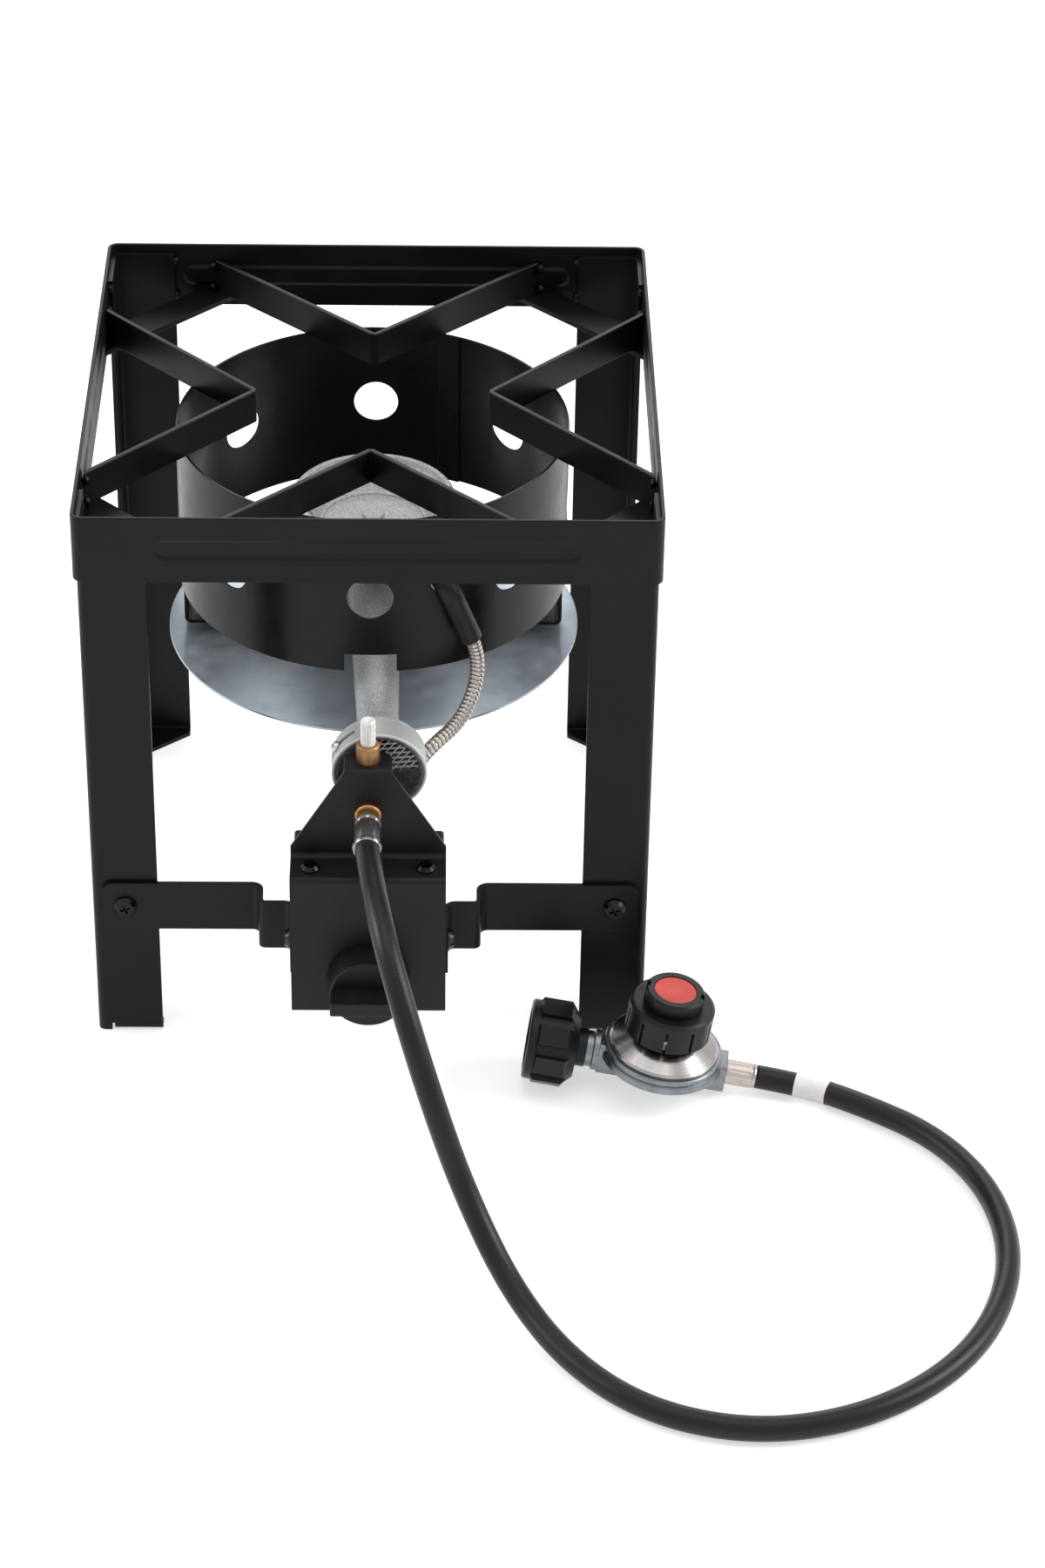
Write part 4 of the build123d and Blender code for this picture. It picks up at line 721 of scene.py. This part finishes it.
LEAD_ROUTE = (
    (53.74, -102.8, 228.0),
    (59.73, -99.82, 211.29),
    (51.0, -121.0, 188.53),
    (30.0, -142.0, 181.03),
    (17.0, -142.0, 158.03),
    (12.0, -130.0, 127.03),
    (12.0, -140.0, 105.03),
    (12.0, -163.95, 105.03),
)
LEAD_RADIUS = 4.0
LEAD_PITCH = 2.55
LEAD_GROOVE = 0.65
LEAD_CROWN = 0.3
LEAD_RESOLUTION = 12
LEAD_RINGS = 8
LEAD_SIDES = 28


def strip_radius(reach, share):
    """Radius of the conduit's wound strip: a flat crown, and a narrow groove once in each pitch."""
    place = (reach / (LEAD_PITCH * MM) + share) % 1.0
    crown = sin(pi * place) ** LEAD_CROWN
    return (LEAD_RADIUS - LEAD_GROOVE + LEAD_GROOVE * crown) * MM


def add_lead():
    """Conduit of the flame sensor."""
    line = spline_points("lead_line", LEAD_ROUTE, LEAD_RESOLUTION)
    total = reaches(line)
    count = int(total[-1] / (LEAD_PITCH * MM) * LEAD_RINGS)
    dense = [point_at(line, total, total[-1] * number / count) for number in range(count + 1)]
    mesh = tube_mesh("wound_conduit", dense, strip_radius, LEAD_SIDES, uv_scale=1 / (LEAD_PITCH * MM))
    lead = add_piece("wound_conduit", mesh, "conduit")
    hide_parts("thermocouple_lead")


# Net behind the windows of the air shutter

NET_LEVELS = (168.62, 169.42)
NET_OUTER = 22.8
NET_INNER = 5.6
NET_RING = 1.7
NET_STRAND = 0.56
NET_PITCH = 3.2
NET_TURNS = (4.0, 53.0)
NET_LINES = 8
NET_SHIFT = 0.35
NET_GRIP = 0.6
NET_STAGGER = 0.06
NET_INSET = 0.02
NET_STEPS = 48


def tube_point(x, y, z):
    """A place in millimetres in the frame of the burner's tube, as a point of the part's frame."""
    return TUBE_PLACE @ (Vector((x, y, z)) * MM)


def add_strand(work, turn, offset, first, last, levels):
    """A flat bar of the net between two places along its direction."""
    along = Vector((cos(radians(turn)), sin(radians(turn)), 0))
    across = Vector((-along.y, along.x, 0))
    corners = []
    for level in levels:
        for reach, side in ((first, -0.5), (last, -0.5), (last, 0.5), (first, 0.5)):
            flat = along * reach + across * (offset + side * NET_STRAND)
            corners.append(work.verts.new(tube_point(flat.x, flat.y, level)))
    add_box_faces(work, corners)


def add_box_faces(work, corners):
    """Six faces on eight corners: four below, then the four above them."""
    work.faces.new(corners[3::-1])
    work.faces.new(corners[4:])
    for step in range(4):
        far = (step + 1) % 4
        work.faces.new((corners[step], corners[far], corners[far + 4], corners[step + 4]))


def add_flat_ring(work, inner, outer, levels):
    """A flat ring of the net, with a square section."""
    low, high = levels
    section = ((inner, low), (outer, low), (outer, high), (inner, high))
    rows = []
    for step in range(NET_STEPS):
        angle = tau * step / NET_STEPS
        row = []
        for radius, level in section:
            row.append(work.verts.new(tube_point(radius * cos(angle), radius * sin(angle), level)))
        rows.append(row)
    for here, there in zip(rows, rows[1:] + rows[:1]):
        for side in range(4):
            far = (side + 1) % 4
            work.faces.new((here[side], there[side], there[far], here[far]))


def add_net():
    """Expanded net: two sets of slanting strands between an inner and an outer ring."""
    low, high = NET_LEVELS
    work = bmesh.new()
    for number, turn in enumerate(NET_TURNS):
        levels = (low + NET_STAGGER * number, high - NET_STAGGER * number - NET_INSET)
        for line in range(-NET_LINES, NET_LINES + 1):
            offset = (line + NET_SHIFT) * NET_PITCH
            if abs(offset) >= NET_OUTER - NET_RING:
                continue
            outer = (NET_OUTER ** 2 - offset ** 2) ** 0.5 - NET_GRIP * NET_RING
            if abs(offset) < NET_INNER + 0.5 * NET_RING:
                inner = ((NET_INNER + NET_GRIP * NET_RING) ** 2 - offset ** 2) ** 0.5
                add_strand(work, turn, offset, -outer, -inner, levels)
                add_strand(work, turn, offset, inner, outer, levels)
            else:
                add_strand(work, turn, offset, -outer, outer, levels)
    for inner in (NET_INNER, NET_OUTER - NET_RING):
        add_flat_ring(work, inner, inner + NET_RING, (low + NET_INSET, high))
    mesh = bpy.data.meshes.new("expanded_net")
    work.to_mesh(mesh)
    work.free()
    net = add_piece("expanded_net", mesh, "net", "air_shutter_body")
    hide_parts("air_screen")


# Coil springs inside the button and under the regulator's bonnet

BUTTON_COIL_RADIUS = 2.55
BUTTON_COIL_WIRE = 0.4
BUTTON_COIL_TURNS = 7
REGULATOR_COIL_ENDS = (8.6, 26.7)
REGULATOR_COIL_RADIUS = 7.5
REGULATOR_COIL_WIRE = 1.1
REGULATOR_COIL_TURNS = 5
COIL_STEPS = 28
COIL_SIDES = 12
COIL_CLOSED = 2.2


def add_coil(name, node, place, ends, radius, wire, turns):
    """Compression spring along Z of a place, with a closed turn at each end. Sizes in millimetres."""
    low, high = ends
    closed = COIL_CLOSED * wire
    rise = (high - low - 2 * wire - 2 * closed) / (turns - 2)
    points = []
    for step in range(turns * COIL_STEPS + 1):
        turn = step / COIL_STEPS
        end_turns = min(turn, 1) + max(turn - turns + 1, 0)
        height = low + wire + closed * end_turns + rise * (turn - end_turns)
        angle = tau * turn
        points.append(place @ (Vector((radius * cos(angle), radius * sin(angle), height)) * MM))
    mesh = tube_mesh(name, points, lambda reach, share: wire * MM, COIL_SIDES)
    coil = add_piece(name, mesh, "steel")
    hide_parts(node)
    return coil


def add_button_spring():
    """Return spring of the button. The coil does not shorten as the button goes down."""
    low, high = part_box("button_spring")
    centre = (low + high) / 2
    coil = add_coil(
        "button_coil",
        "button_spring",
        Matrix.Translation((centre.x, centre.y, 0)),
        (low.z / MM, high.z / MM),
        BUTTON_COIL_RADIUS,
        BUTTON_COIL_WIRE,
        BUTTON_COIL_TURNS,
    )
    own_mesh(coil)


def add_regulator_spring():
    """Spring between the regulator's diaphragm and its knob."""
    return add_coil(
        "regulator_coil",
        "regulator_spring",
        REGULATOR_PLACE,
        REGULATOR_COIL_ENDS,
        REGULATOR_COIL_RADIUS,
        REGULATOR_COIL_WIRE,
        REGULATOR_COIL_TURNS,
    )


# Weld tacks that hold the bars and the legs in the rim

RIM_INSIDE = 150.5
BAR_END = 92.0
LEG_EDGE = 115.0
TACK_SIZE = 1.9
TACK_TALL = 1.35
TACK_LUMPS = 0.3
TACK_GRAIN = 0.7
TACK_SEED = 7
TACK_ROUNDS = 3

# Rows of tacks on each half of a side: distance from its middle, depth off the rim, and heights

TACK_ROWS = (
    (BAR_END + 1.4, 2.2, (304.5, 317.5)),
    (LEG_EDGE - 0.6, 1.1, (298.5, 320.5)),
)


def tack_places():
    """Places of the tacks along one side of the rim, as (x, y, z) with that side to the front."""
    return [
        (side * reach, -RIM_INSIDE + depth, height)
        for side in (-1, 1)
        for reach, depth, heights in TACK_ROWS
        for height in heights
    ]


def add_tacks():
    """Small lumps of weld along the inside of the rim, each with its own shape."""
    work = bmesh.new()
    count = 0
    for quarter in range(4):
        turn = Matrix.Rotation(radians(90 * quarter), 4, "Z")
        for place in tack_places():
            centre = placed(*(turn @ Vector(place)))
            made = bmesh.ops.create_icosphere(work, subdivisions=TACK_ROUNDS, radius=TACK_SIZE * MM)
            for vertex in made["verts"]:
                grain = noise.noise(vertex.co / MM * TACK_GRAIN + Vector((count, 0, 0)))
                tall = Vector((vertex.co.x, vertex.co.y, vertex.co.z * TACK_TALL))
                vertex.co = centre + tall * (1 + TACK_LUMPS * grain)
            count += TACK_SEED
    for face in work.faces:
        face.smooth = True
    mesh = bpy.data.meshes.new("weld_tacks")
    work.to_mesh(mesh)
    work.free()
    add_piece("weld_tacks", mesh, "frame_black")


# Stage and light. Each lamp: name, place, target, size and power

FLOOR_HALF = 9.0
FLOOR_GREY = 0.82
FLOOR_LIFT = 0.5
WORLD_LIGHT = 0.64
LAMPS = (
    ("left", (-2.0, 0.2, 1.3), (0, -0.1, 0.15), 1.1, 22),
    ("right", (2.0, -0.2, 1.3), (0.1, -0.1, 0.15), 1.1, 28),
    ("top", (0.1, -0.1, 2.7), (0.1, 0, 0.2), 2.0, 12),
    ("back", (0.1, 2.3, 1.7), (0, 0, 0.25), 1.5, 15),
)


def seen_share(tree, seen, unseen):
    """One value for camera, glossy and transmission rays, and another for the rest."""
    path = tree.nodes.new("ShaderNodeLightPath")
    total = path.outputs["Is Camera Ray"]
    for name in ("Is Glossy Ray", "Is Transmission Ray"):
        most = tree.nodes.new("ShaderNodeMath")
        most.operation = "MAXIMUM"
        tree.links.new(total, most.inputs[0])
        tree.links.new(path.outputs[name], most.inputs[1])
        total = most.outputs["Value"]
    mapped = tree.nodes.new("ShaderNodeMapRange")
    mapped.inputs["To Min"].default_value = unseen
    mapped.inputs["To Max"].default_value = seen
    tree.links.new(total, mapped.inputs["Value"])
    return mapped.outputs["Result"]


def add_stage():
    """Plain pale floor that looks white."""
    floor_mesh = bpy.data.meshes.new("floor")
    signs = ((-1, -1), (1, -1), (1, 1), (-1, 1))
    corners = [(x * FLOOR_HALF, y * FLOOR_HALF, 0) for x, y in signs]
    floor_mesh.from_pydata(corners, [], [range(len(corners))])
    floor = bpy.data.objects.new("floor", floor_mesh)
    scene.collection.objects.link(floor)
    material = bpy.data.materials.new("floor_white")
    material.use_nodes = True
    tree = material.node_tree
    tree.nodes.remove(tree.nodes["Principled BSDF"])
    diffuse = tree.nodes.new("ShaderNodeBsdfDiffuse")
    diffuse.inputs["Color"].default_value = (FLOOR_GREY, FLOOR_GREY, FLOOR_GREY, 1)
    glow = tree.nodes.new("ShaderNodeEmission")
    glow.inputs["Color"].default_value = (1, 1, 1, 1)
    strength = seen_share(tree, FLOOR_LIFT, 0.0)
    tree.links.new(strength, glow.inputs["Strength"])
    both = tree.nodes.new("ShaderNodeAddShader")
    tree.links.new(diffuse.outputs["BSDF"], both.inputs[0])
    tree.links.new(glow.outputs["Emission"], both.inputs[1])
    tree.links.new(both.outputs["Shader"], tree.nodes["Material Output"].inputs["Surface"])
    floor_mesh.materials.append(material)


def add_lights():
    """White surround and four soft lamps."""
    world = bpy.data.worlds.new("studio")
    world.use_nodes = True
    scene.world = world
    tree = world.node_tree
    background = tree.nodes["Background"]
    background.inputs["Color"].default_value = (1, 1, 1, 1)
    tree.links.new(seen_share(tree, 1.0, WORLD_LIGHT), background.inputs["Strength"])
    for name, place, target, size, power in LAMPS:
        data = bpy.data.lights.new(name, "AREA")
        data.shape = "SQUARE"
        data.size = size
        data.energy = power
        lamp = bpy.data.objects.new(name, data)
        lamp.location = place
        lamp.rotation_euler = (Vector(target) - Vector(place)).to_track_quat("-Z", "Y").to_euler()
        scene.collection.objects.link(lamp)


scene.view_settings.view_transform = "Standard"
add_camera()
dress_frame()
add_hose([add_regulator_spring()])
add_lead()
add_net()
add_button_spring()
add_tacks()
add_stage()
add_lights()
